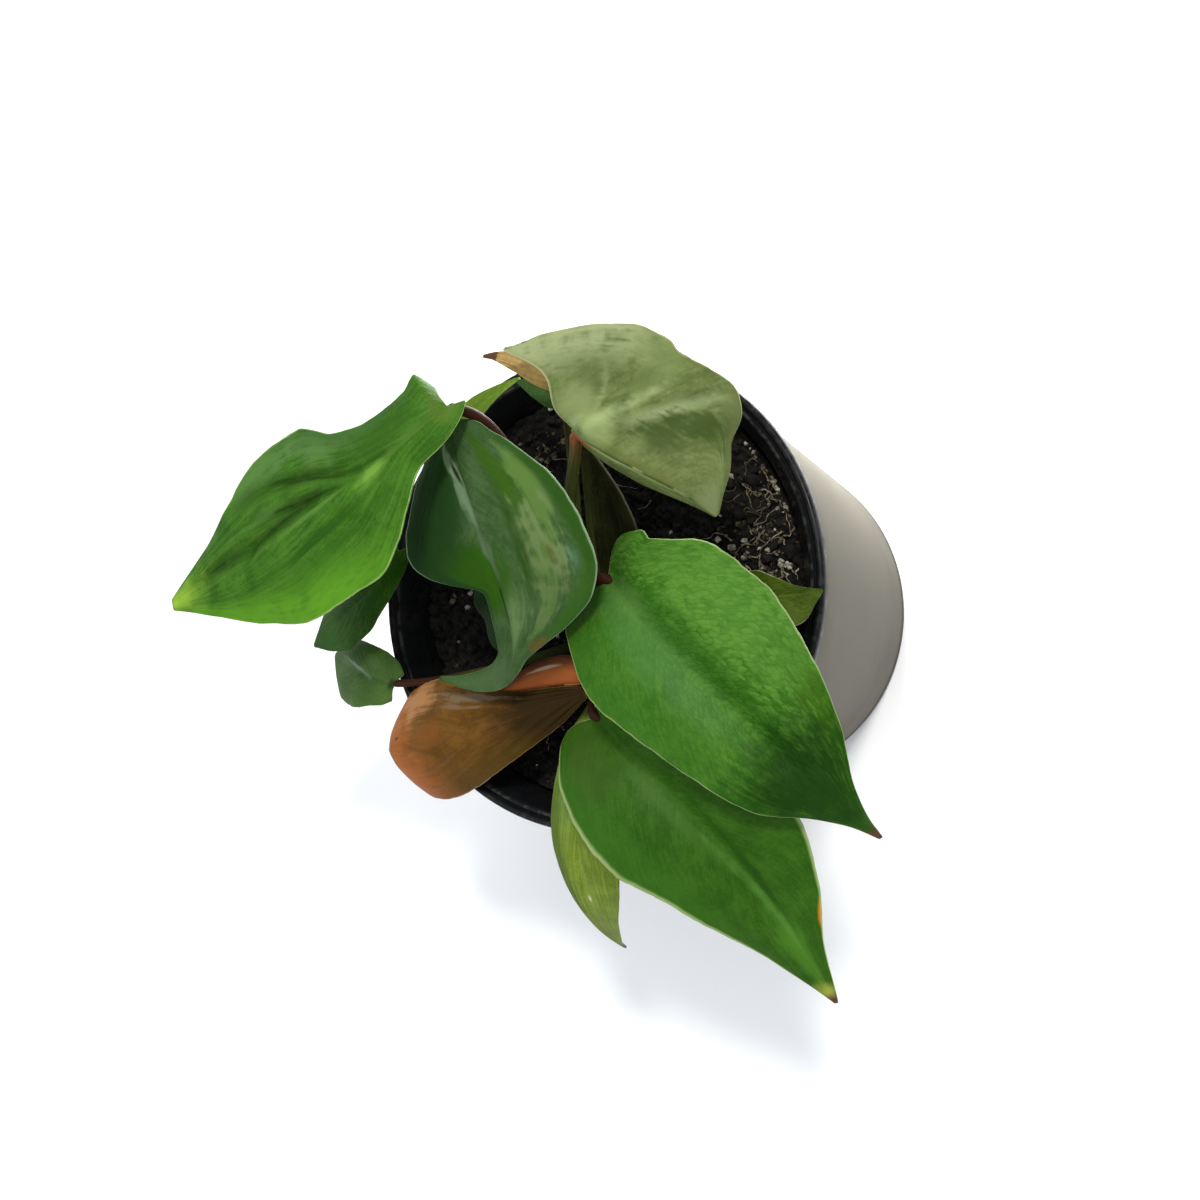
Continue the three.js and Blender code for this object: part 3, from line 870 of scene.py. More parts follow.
def corners(piece: bpy.types.Object) -> np.ndarray:
    """The vertices of a mesh piece, in its own units.

    Args:
        piece: the piece.

    Returns:
        One row for each vertex.
    """
    found = np.empty(len(piece.data.vertices) * 3)
    piece.data.vertices.foreach_get("co", found)
    return found.reshape(-1, 3)


def move_corners(piece: bpy.types.Object, points: np.ndarray) -> None:
    """Puts the vertices of a mesh piece where they are wanted.

    Args:
        piece: the piece.
        points: one row for each vertex.
    """
    piece.data.vertices.foreach_set("co", np.ascontiguousarray(points, float).ravel())
    piece.data.update()


def shaped_grid(name: str, columns: int, rows: int, place: Place) -> bpy.types.Object:
    """A grid primitive whose vertices are laid on a surface.

    Args:
        name: the piece's name.
        columns: faces across.
        rows: faces along.
        place: gives points in millimetres from across (-1 to 1) and along (0 to 1).

    Returns:
        The piece, with a UV map that runs across and along.
    """
    deselect()
    bpy.ops.mesh.primitive_grid_add(x_subdivisions=columns, y_subdivisions=rows, size=2)
    piece = bpy.context.active_object
    piece.name = piece.data.name = name
    flat = corners(piece)
    move_corners(piece, place(flat[:, 0], (flat[:, 1] + 1) / 2) * MM)
    return piece


def tube(name: str, path: np.ndarray, radii: np.ndarray, sides: int = 14) -> bpy.types.Object:
    """A closed round tube along a path.

    Args:
        name: the piece's name.
        path: points of its middle line, in millimetres.
        radii: its radius at each point.
        sides: how many faces it has round it.

    Returns:
        The piece, whose UV map runs round and along.
    """
    ways = unit(np.gradient(path, axis=0))
    sides_at = np.empty_like(path)
    side = np.array([1.0, 0.0, 0.0])
    for i, way in enumerate(ways):
        side = side - way * (side @ way)
        side = side / np.linalg.norm(side)
        sides_at[i] = side
    others = np.cross(ways, sides_at)
    last = len(path) - 1

    def place(across: np.ndarray, along: np.ndarray) -> np.ndarray:
        """Wraps the grid round the path."""
        row = np.rint(along * last).astype(int)
        turn = (across + 1) * math.pi
        ring = sides_at[row] * np.cos(turn)[:, None] + others[row] * np.sin(turn)[:, None]
        return path[row] + ring * radii[row][:, None]

    piece = shaped_grid(name, sides, last, place)
    bpy.ops.object.mode_set(mode="EDIT")
    bpy.ops.mesh.select_all(action="SELECT")
    bpy.ops.mesh.remove_doubles(threshold=1e-7)
    bpy.ops.mesh.select_all(action="DESELECT")
    bpy.ops.mesh.select_non_manifold()
    bpy.ops.mesh.fill_holes(sides=0)
    close_up()
    bpy.ops.object.shade_smooth()
    return piece


def join(name: str, pieces: Sequence[bpy.types.Object]) -> bpy.types.Object:
    """Joins pieces into one.

    Args:
        name: the joined piece's name.
        pieces: what to join; the first one's place and materials lead.

    Returns:
        The joined piece.
    """
    deselect()
    for piece in pieces:
        piece.select_set(True)
    bpy.context.view_layer.objects.active = pieces[0]
    bpy.ops.object.join()
    pieces[0].name = pieces[0].data.name = name
    return pieces[0]


def hand_over(piece: bpy.types.Object, slot: str, *nodes: str) -> bpy.types.Object:
    """Gives a finished piece its body, and hides the solids that it stands for.

    Args:
        piece: the finished piece.
        slot: the record's material slot; not used.
        nodes: the solids it stands for.

    Returns:
        The same piece.
    """
    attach(piece, BODY)
    if nodes:
        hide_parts(*nodes)
    LOG.info("%s: %d faces", piece.name, len(piece.data.polygons))
    return piece


@dataclass(frozen=True)
class Stalk:
    """A leaf's stalk: where it leaves the stem, its two bends and its radius."""

    from_height: float
    bends: tuple[Spot, Spot]
    radius: float


@dataclass(frozen=True)
class Crease:
    """A low ridge, or a valley if its height is negative, between two places on a blade.

    A place is (side, along): from -1 at the left margin to 1 at the right, and from base to tip.
    """

    start: Span
    end: Span
    width: float
    height: float

    def lift(self, leaf: "Leaf", across: np.ndarray, along: np.ndarray) -> np.ndarray:
        """How far the crease lifts each place on a leaf's blade.

        Args:
            leaf: the leaf.
            across: from -1 to 1.
            along: from 0 to 1.

        Returns:
            The lift, in millimetres.
        """
        length = np.linalg.norm(np.subtract(leaf.midrib[3], leaf.midrib[0]))
        ends = np.array([self.start, self.end], float)
        (x0, y0), last = np.stack([ends[:, 0] * leaf.width(*ends.T), ends[:, 1] * length], axis=1)
        line = last - (x0, y0)
        x, y = across * leaf.width(across, along) - x0, along * length - y0
        share = np.clip((x * line[0] + y * line[1]) / (line @ line), 0, 1)
        away = np.hypot(x - share * line[0], y - share * line[1])
        return self.height * np.exp(-((away / self.width) ** 2))


@dataclass(frozen=True)
class Leaf:
    """One leaf: its blade's surface and its stalk.

    The surface is given by a midrib curve, half-widths on both sides, the angles by which each half
    lifts and then curls (at base, at tip), the reach of the base lobes, and the margin's waves.
    """

    name: str
    midrib: tuple[Spot, Spot, Spot, Spot]
    left: Stations
    right: Stations
    left_fold: Fold
    right_fold: Fold
    up: tuple[Spot, Spot] = ((0, 0, 1), (0, 0, 1))
    lobe: float = 0.0
    wave: Spot = (0.0, 0.0, 0.0)
    stalk: Stalk | None = None
    slot: str = "leaf_green"
    thickness: float = 0.5
    groove: float = 0.35
    pleat: float = 0.12
    ragged: float = 0.008
    creases: tuple[Crease, ...] = ()
    mesh: tuple[int, int] = (64, 110)
    base_round: float = 0.0
    base_hook: float = 0.0
    tip_round: float = 0.0
    lobe_right: float = 1.0
    has_solid: bool = True
    lobe_swing: float = 0.0

    def frame_at(self, along: np.ndarray) -> tuple[np.ndarray, np.ndarray, np.ndarray, np.ndarray]:
        """The midrib's point, direction, right side and upward normal.

        Args:
            along: where on the midrib, from 0 to 1.

        Returns:
            Point, direction, side and face vectors.
        """
        at, way = bezier(self.midrib, along)
        t = np.asarray(along, float)[..., None]
        up = np.array(self.up[0]) * (1 - t) + np.array(self.up[1]) * t
        side = unit(np.cross(way, up))
        return at, way, side, np.cross(side, way)

    def width(self, across: np.ndarray, along: np.ndarray) -> np.ndarray:
        """Half-width of the blade on the side where each point lies, in millimetres."""
        return np.where(across < 0, steady(self.left, along), steady(self.right, along))

    def relief(self, across: np.ndarray, along: np.ndarray, veins: Span) -> np.ndarray:
        """Low relief of the upper face: pleats along the veins, the midrib's groove and creases.

        Args:
            across: from -1 to 1.
            along: from 0 to 1.
            veins: how many veins there are along the midrib, and how far they sweep.

        Returns:
            Height above the plain surface, in millimetres.
        """
        a = np.abs(across)
        phase = veins[0] * along - veins[1] * a**VEIN_CURVE + np.where(across < 0, HALF_SHIFT, 0.0)
        window = fade(a, 5) * fade(1 - a, 4) * fade(1 - along, 5)
        height = self.pleat * np.cos(2 * np.pi * phase) * window * fade(along, 8)
        off_rib = a * self.width(across, along)
        height = height - self.groove * np.exp(-(off_rib**2)) * fade(1 - along, 3)
        for crease in self.creases:
            height = height + crease.lift(self, across, along)
        return height

    def angle(self, part: int, across: np.ndarray, along: np.ndarray) -> np.ndarray:
        """One angle of the blade's halves, in radians: part 0 is their lift, part 2 their curl."""
        left, right = (
            fold[part] + (fold[part + 1] - fold[part]) * along
            for fold in (self.left_fold, self.right_fold)
        )
        return np.radians(np.where(across < 0, left, right))

    def surface(self, across: np.ndarray, along: np.ndarray) -> np.ndarray:
        """Points of the blade's middle surface without its low relief.

        Args:
            across: from -1 at the left margin to 1 at the right.
            along: from 0 at the stalk to 1 at the tip.

        Returns:
            One point for each pair, in millimetres.
        """
        at, way, side, face = self.frame_at(along)
        a = np.abs(across)
        width = self.width(across, along)
        fold, curl = self.angle(0, across, along), self.angle(2, across, along)
        curl = np.where(np.abs(curl) < 1e-4, 1e-4, curl)
        out = (np.sin(fold + curl * a) - np.sin(fold)) / curl
        rise = (np.cos(fold) - np.cos(fold + curl * a)) / curl
        lobe = np.where(across > 0, self.lobe_right, 1.0) * self.lobe
        back = lobe * np.maximum(0, 1 - along / LOBE_LENGTH) ** 2 * (1.4 * a**2 - 0.4 * a**8)
        height, count, start = self.wave
        turn = 2 * np.pi * (count * along + start + np.where(across < 0, HALF_SHIFT, 0))
        ripple = height * a * a * np.sin(turn) * fade(along, 4) * fade(1 - along, 5)
        jag = sum(share * np.sin(rate * along + shift) for rate, shift, share in JAGS)
        out = out * (1 + self.ragged * jag * a**4)
        swing = np.where(across < 0, self.lobe_swing * back, 0.0)
        return (
            at
            + side * (np.sign(across) * out * width + swing)[..., None]
            + face * (rise * width + ripple)[..., None]
            - way * back[..., None]
        )

    def rounded(self, across: np.ndarray, along: np.ndarray) -> np.ndarray:
        """Shifts the rows near the base and the tip, so that they end in curves and not corners.

        Args:
            across: from -1 to 1.
            along: from 0 to 1.

        Returns:
            The shifted places along the midrib.
        """
        share = np.clip((np.abs(across) - 0.35) / 0.65, 0, 1) ** 2
        hook = np.sin(np.pi * np.clip((-across - 0.3) / 0.7, 0, 1)) ** 2
        along = along + (self.base_round * share + self.base_hook * hook) * (1 - along) ** 3
        return np.clip(along - self.tip_round * share * along**12, 0, 1)

    def points(self, across: np.ndarray, along: np.ndarray, veins: Span) -> np.ndarray:
        """Points of the blade's middle surface with its low relief.

        Args:
            across: from -1 to 1.
            along: from 0 to 1.
            veins: see relief.

        Returns:
            One point for each pair, in millimetres.
        """
        step = 0.003
        along = self.rounded(across, along)
        low, high = (np.clip(across + move, -1, 1) for move in (-step, step))
        back, ahead = (np.clip(along + move, 0, 1) for move in (-step, step))
        over = self.surface(high, along) - self.surface(low, along)
        on = self.surface(across, ahead) - self.surface(across, back)
        normal = unit(np.cross(over, on))
        return self.surface(across, along) + normal * self.relief(across, along, veins)[..., None]

    def build(self, veins: Span) -> bpy.types.Object:
        """Makes the blade as a closed thin sheet with a rounded margin.

        Args:
            veins: see relief.

        Returns:
            The piece, with material slots for its upper face, underside and margin.
        """
        piece = shaped_grid(
            f"{self.name}_blade",
            *self.mesh,
            lambda across, along: self.points(across, along, veins),
        )
        for _ in Skin:
            piece.data.materials.append(None)
        apply_modifier(
            piece,
            "SOLIDIFY",
            thickness=self.thickness * MM,
            offset=0.0,
            use_even_offset=False,
            material_offset=Skin.UNDER.value,
            material_offset_rim=Skin.MARGIN.value,
        )
        bpy.ops.object.shade_smooth()
        return piece

    def dress(self, piece: bpy.types.Object, finish: LeafFinish) -> bpy.types.Object:
        """Gives the blade its materials and hands it over.

        Args:
            piece: the blade.
            finish: its colours and markings.

        Returns:
            The finished blade.
        """
        makers = {Skin.UPPER: finish.upper, Skin.UNDER: finish.lower, Skin.MARGIN: finish.rim}
        for skin, make in makers.items():
            piece.data.materials[skin.value] = make(self.name)
        return hand_over(piece, self.slot, *([self.name] if self.has_solid else []))

    def stalk_piece(self, centre: Span) -> bpy.types.Object:
        """Makes the stalk, which runs on as a rib under the blade.

        Args:
            centre: the stem's axis.

        Returns:
            The tube.
        """
        stalk = self.stalk
        at, way, _, face = (part[0] for part in self.frame_at(np.array([0.0])))
        end = at + 0.8 * way - 0.6 * face
        length = np.linspace(0, 1, 37)
        free, _ = bezier([(*centre, stalk.from_height), *stalk.bends, end], length)
        swell = 1 + 0.18 * np.exp(-(((length - 0.97) / 0.05) ** 2))
        radii = stalk.radius * np.interp(length, *STALK_TAPER) * swell
        under = np.linspace(*RIB_REACH, 40)
        rib_at, _, _, rib_face = self.frame_at(under)
        rib_radii = np.interp(under, [0, RIB_REACH[1]], [stalk.radius * 0.68, RIB_END])
        depth = self.relief(0 * under, under, (0, 0)) - rib_radii * 0.95
        path = np.vstack([free[:-1], rib_at + rib_face * depth[:, None]])
        return tube(f"{self.name}_stalk", path, np.concatenate([radii[:-1], rib_radii]))


LEAVES: tuple[Leaf, ...] = (
    Leaf(
        name="leaf_front_upper",
        midrib=((12.5, 1.5, 121), (23.5, -11, 134.5), (54.5, -37.5, 133), (69.5, -56, 103)),
        left=(
            (0, 5), (0.06, 10.8), (0.095, 13.7), (0.12, 13.6), (0.15, 15.6), (0.3, 24.5),
            (0.45, 25.5), (0.6, 22), (0.75, 14.5), (0.88, 5), (0.95, 1.8), (1, 0.4),
        ),
        right=(
            (0, 8), (0.06, 10.5), (0.15, 15), (0.3, 19.5), (0.45, 18), (0.6, 16.5), (0.75, 13.5),
            (0.88, 5.2), (0.95, 1.7), (1, 0.4),
        ),
        left_fold=(12, 10, -25, -15), right_fold=(8, 0, -10, -15), lobe=9, base_round=0.05,
        creases=(
            Crease((0, 0.04), (0, 0.72), 4.5, -2.0),
            Crease((-0.45, 0.3), (-0.35, 0.75), 3.5, 0.5),
            Crease((0.5, 0.3), (0.45, 0.7), 4.0, 0.5),
        ),
        groove=0.2, pleat=0.08, wave=(0.6, 3, 0),
        stalk=Stalk(from_height=99, bends=((6, -9, 112), (4, -3, 119)), radius=1.5),
    ),
    Leaf(
        name="leaf_front_lower",
        midrib=((5, -29.5, 112), (19, -39.5, 125), (45.5, -62, 112.5), (53.5, -94, 86)),
        left=(
            (0, 5.5), (0.06, 8.5), (0.15, 12.5), (0.3, 17.5), (0.45, 20.5), (0.6, 19), (0.75, 12.5),
            (0.88, 4.5), (1, 0.4),
        ),
        right=(
            (0, 7), (0.06, 12), (0.15, 18), (0.3, 21.5), (0.45, 22.5), (0.6, 18.5), (0.75, 13.5),
            (0.88, 7.5), (1, 0.4),
        ),
        left_fold=(12, 5, -20, -20), right_fold=(10, 5, -20, -20), lobe=7, base_round=0.05,
        creases=(
            Crease((0, 0.04), (0, 0.8), 4.0, -1.6),
            Crease((0.45, 0.25), (0.35, 0.7), 3.5, 0.5),
        ),
        groove=0.3, pleat=0.06, wave=(0.6, 3, 0.2),
        stalk=Stalk(from_height=97, bends=((3, -15, 105), (1, -24, 105)), radius=1.5),
    ),
    Leaf(
        name="leaf_left",
        midrib=((-12, 36.5, 147), (-15.5, 28, 157.5), (-62.5, 5, 145.5), (-94, -3.5, 138)),
        left=(
            (0, 2.5), (0.06, 4.6), (0.15, 6.6), (0.22, 7.6), (0.3, 13), (0.38, 18.5), (0.45, 21.6),
            (0.6, 21.7), (0.75, 15.2), (0.88, 7), (0.95, 3.2), (1, 1),
        ),
        right=(
            (0, 6.5), (0.06, 11), (0.15, 9.2), (0.3, 9.3), (0.4, 12.2), (0.45, 16.3), (0.5, 19.6),
            (0.6, 20.6), (0.75, 14.6), (0.88, 8.4), (0.95, 4.6), (1, 1.8),
        ),
        left_fold=(15, 0, -20, -15), right_fold=(15, 0, -20, -15), lobe=3, wave=(1, 3, 0.1),
        pleat=0.07,
        creases=(
            Crease((0.12, 0.38), (0.62, 0.63), 1.4, -1.0),
            Crease((0.62, 0.63), (0.82, 0.72), 1.8, -0.7),
            Crease((0.03, 0.4), (0.39, 0.7), 1.3, -1.0),
            Crease((0.16, 0.52), (0.13, 0.72), 1.6, -1.3),
            Crease((0.13, 0.72), (0.38, 0.88), 1.7, -1.1),
            Crease((-0.02, 0.42), (0.0, 0.7), 1.8, 1.0),
            Crease((-0.22, 0.4), (-0.3, 0.62), 1.6, -0.8),
            Crease((-0.4, 0.42), (-0.62, 0.66), 1.8, -0.7),
        ),
        stalk=Stalk(from_height=100, bends=((-5, 2, 118), (-3, 40, 130)), radius=1.5),
    ),
    Leaf(
        name="leaf_centre", slot="leaf_glossy",
        midrib=((-15.5, 34.5, 140.5), (-12.5, 12.5, 146.5), (13, -32.5, 125), (-32, -21, 117)),
        left=(
            (0, 2), (0.03, 7), (0.08, 10.5), (0.15, 15.5), (0.3, 23), (0.43, 24.6), (0.5, 22.3),
            (0.56, 15), (0.6, 9.4), (0.63, 6.3), (0.66, 4.2), (0.7, 3.2), (0.75, 2.6), (0.88, 1.6),
            (1, 0.4),
        ),
        right=(
            (0, 1.5), (0.06, 11), (0.15, 20), (0.3, 27.8), (0.38, 23.5), (0.42, 17), (0.44, 11.5),
            (0.455, 6.2), (0.47, 4.6), (0.53, 4.7), (0.6, 5), (0.68, 5.4), (0.75, 6), (0.88, 3.8),
            (1, 0.5),
        ),
        left_fold=(15, 0, -25, -20), right_fold=(-20, -10, -20, -10), pleat=0.05, groove=0.9,
        stalk=Stalk(from_height=98, bends=((-7, 0, 112), (-18, 34, 122)), radius=1.4),
    ),
    Leaf(
        name="leaf_back", slot="leaf_silver",
        midrib=((16, 29.5, 143), (23.5, 22.5, 144), (38.5, 17, 143), (44, 11, 132)),
        left=(
            (0, 4), (0.03, 11), (0.06, 16.6), (0.15, 25.2), (0.22, 27.6), (0.3, 27.4), (0.42, 25.9),
            (0.6, 25.5), (0.72, 25), (0.82, 21.2), (0.9, 11.8), (0.96, 4), (1, 0.8),
        ),
        right=((0, 0.8), (0.06, 3), (0.15, 5), (0.3, 6), (0.5, 6), (0.7, 4.5), (0.88, 2.5), (1, 1)),
        left_fold=(12, 5, -15, -25), right_fold=(-65, -60, -15, -10), lobe=30, lobe_swing=0.2,
        ragged=0.003, lobe_right=0.03, base_hook=0.03, base_round=0.02,
        creases=(
            Crease((-0.15, 0.12), (-0.8, 0.6), 2.4, 2.2),
            Crease((-0.42, 0.3), (-0.7, 0.62), 3.5, -2.0),
            Crease((-0.3, 0.42), (-0.75, 0.84), 4.0, -2.0),
            Crease((-0.5, 0.1), (-0.85, 0.4), 3.5, -0.9),
        ),
        stalk=Stalk(from_height=101, bends=((-8, -4, 114), (9, 22, 126)), radius=1.5),
    ),
    Leaf(
        name="leaf_under_front", mesh=(36, 72), slot="leaf_olive",
        midrib=((2, -27.5, 102.5), (4, -42, 115), (-8, -72, 107), (-7.5, -87, 68)),
        left=(
            (0, 2), (0.06, 4), (0.15, 7), (0.3, 9.5), (0.5, 11), (0.7, 9), (0.85, 5), (0.95, 1.6),
            (0.98, 0.4), (1, 0.3),
        ),
        right=(
            (0, 2), (0.06, 3.5), (0.15, 5.5), (0.3, 7), (0.5, 7.5), (0.7, 5.5), (0.85, 3), (1, 0.3),
        ),
        left_fold=(5, 5, -20, -20), right_fold=(5, 5, -20, -20), lobe=3,
        stalk=Stalk(from_height=95.5, bends=((0, -14, 99), (1, -22, 99)), radius=1.2),
    ),
    Leaf(
        name="leaf_young_rolled", slot="leaf_young",
        midrib=((3.5, -24.5, 112), (-12.5, -27.5, 114), (-24, -36, 122), (-55, -38, 103)),
        left=(
            (0, 1.5), (0.06, 3.2), (0.15, 5.5), (0.3, 8.2), (0.45, 10.5), (0.6, 12.5), (0.74, 14.7),
            (0.86, 16), (0.92, 15.4), (0.97, 13), (1, 9.5),
        ),
        right=(
            (0, 1), (0.06, 2), (0.15, 3), (0.3, 4.5), (0.45, 8), (0.6, 12), (0.75, 15.5),
            (0.86, 16), (0.94, 14.6), (0.98, 12), (1, 9.5),
        ),
        left_fold=(-15, -20, -20, -30), right_fold=(-5, -5, -20, -25), wave=(0.5, 2, 0),
        tip_round=0.05,
        stalk=Stalk(from_height=96, bends=((-3, -14, 103), (0, -21, 107)), radius=1.2),
    ),
    Leaf(
        name="leaf_small_hanging", mesh=(36, 48),
        midrib=((-52.5, -22, 105), (-58, -19, 107), (-66.5, -18.5, 102), (-78.5, -13.5, 93)),
        left=((0, 4), (0.1, 6), (0.3, 7.5), (0.6, 9.5), (0.75, 9), (0.88, 5.5), (1, 0.5)),
        right=((0, 3.5), (0.1, 5.7), (0.3, 7), (0.6, 7.3), (0.75, 6.8), (0.88, 5.5), (1, 0.5)),
        left_fold=(10, 5, -30, -20), right_fold=(10, 5, -30, -20), lobe=1,
        stalk=Stalk(from_height=95, bends=((-14, -16, 99), (-36, -22, 104)), radius=1.1),
    ),
    Leaf(
        name="leaf_left_lower", mesh=(40, 64),
        midrib=((-43, 9.5, 118), (-45, 1, 123), (-58, -3.5, 115), (-84.5, -11, 94)),
        left=(
            (0, 2), (0.1, 3.5), (0.3, 5), (0.45, 6), (0.6, 7.5), (0.75, 7.5), (0.88, 5), (1, 0.4),
        ),
        right=(
            (0, 2), (0.1, 5), (0.3, 8.5), (0.45, 10.5), (0.6, 11), (0.75, 9.5), (0.88, 6), (1, 0.4),
        ),
        left_fold=(0, 0, -20, -20), right_fold=(0, 0, -25, -20), lobe=2,
        stalk=Stalk(from_height=97, bends=((-10, -6, 106), (-34, 12, 108)), radius=1.2),
    ),
    Leaf(
        name="leaf_small_back_left", mesh=(20, 32), slot="leaf_olive",
        midrib=((-29.5, 38, 112), (-26, 41.5, 115), (-21, 47, 112), (-16.5, 50.5, 107)),
        left=((0, 2.6), (0.2, 3.4), (0.4, 3), (0.7, 1.6), (1, 0.3)),
        right=((0, 2.6), (0.2, 2.9), (0.5, 2.2), (0.75, 1.2), (1, 0.3)), left_fold=(10, 10, 0, 0),
        right_fold=(10, 10, 0, 0),
        stalk=Stalk(from_height=95, bends=((-8, 4, 99), (-30, 28, 100)), radius=1),
    ),
    Leaf(
        name="leaf_small_back", mesh=(20, 32),
        midrib=((3.5, 41, 118), (1, 42, 121), (-5.5, 45, 117), (-15.5, 49, 110)),
        left=((0, 1), (0.15, 2.6), (0.4, 3.2), (0.7, 2.3), (1, 0.3)),
        right=((0, 1), (0.15, 2), (0.5, 2.8), (0.75, 2.2), (1, 0.3)), left_fold=(5, 5, -10, -10),
        right_fold=(5, 5, -10, -10), lobe=1,
        stalk=Stalk(from_height=96, bends=((-3, 6, 99), (0, 38, 102)), radius=1),
    ),
    Leaf(
        name="leaf_small_right", mesh=(28, 36), slot="leaf_olive",
        midrib=((38.5, -5, 108), (48, -4.5, 115), (54.5, -4.5, 112.5), (58, -3, 106)),
        left=((0, 5), (0.15, 6.3), (0.3, 6.2), (0.45, 4.5), (0.7, 1.8), (1, 0.3)),
        right=((0, 4), (0.15, 6), (0.45, 8), (0.7, 6.5), (0.85, 3), (1, 0.3)),
        left_fold=(20, 10, 0, 0), right_fold=(20, 10, 0, 0),
        stalk=Stalk(from_height=96, bends=((12, -9, 101), (32, -7, 101)), radius=1.1),
    ),
    Leaf(
        name="leaf_inner", mesh=(28, 32), slot="leaf_glossy",
        midrib=((-20, 4, 110), (-18.5, -4.5, 113), (-20, -9.5, 112), (-20.5, -15, 108)),
        left=((0, 2), (0.15, 6), (0.3, 7.2), (0.6, 5.6), (0.85, 2.2), (1, 0.3)),
        right=((0, 3), (0.15, 6.3), (0.3, 6.4), (0.6, 3.2), (0.85, 2.5), (1, 0.3)),
        left_fold=(5, 5, 0, 0), right_fold=(5, 5, 0, 0), lobe=2,
        stalk=Stalk(from_height=99, bends=((-8, -4, 104), (-19, 7, 103)), radius=1.1),
    ),
    Leaf(
        name="leaf_young_back", mesh=(20, 36), slot="leaf_young",
        midrib=((5, 43.5, 131), (1.5, 44.5, 135.5), (-3, 49, 135.5), (-12.5, 50.5, 131)),
        left=((0, 2.6), (0.3, 2.3), (0.6, 1.7), (1, 0.3)),
        right=((0, 2.4), (0.3, 2.7), (0.6, 2.5), (0.85, 1.2), (1, 0.3)), left_fold=(5, 5, -30, -30),
        right_fold=(-5, -5, -30, -20),
        stalk=Stalk(from_height=99, bends=((-3, 4, 112), (5, 40, 114)), radius=1.1),
    ),
    Leaf(
        name="sheath", mesh=(32, 60), slot="sheath",
        midrib=((4.1, -5.9, 97), (8, 6, 102), (15.5, 18, 122), (14, 27.5, 131)),
        up=((0, -0.5, 1), (0, -0.5, 1)),
        left=((0, 1.2), (0.25, 4), (0.45, 4.6), (0.6, 3.7), (0.85, 1.8), (1, 0.3)),
        right=((0, 1.2), (0.25, 5), (0.45, 9), (0.6, 8.5), (0.75, 6), (0.9, 2.2), (1, 0.3)),
        left_fold=(25, 25, 0, 0), right_fold=(25, 25, 0, 0),
    ),
    Leaf(
        name="leaf_young_far_wall",
        midrib=((6.5, -23.2, 110.2), (-1, -22.2, 111), (-10, -23.8, 111.8), (-19.5, -25.6, 112)),
        up=((0, -0.75, 1), (0, -0.6, 1)), left=((0, 0.5), (0.5, 0.6), (1, 0.4)),
        right=((0, 7.5), (0.3, 8), (0.6, 6.5), (0.8, 4.2), (1, 0.8)), left_fold=(0, 0, 0, 0),
        right_fold=(10, 10, -30, -20), slot="leaf_young", mesh=(24, 40), has_solid=False,
    ),
)

GREEN_UNDER: Colour = (0.07, 0.13, 0.035)
OLIVE_UNDER: Colour = (0.13, 0.16, 0.05)
ORANGE_UNDER: Colour = (0.27, 0.085, 0.02)
CREAM: Colour = (0.3, 0.4, 0.15)

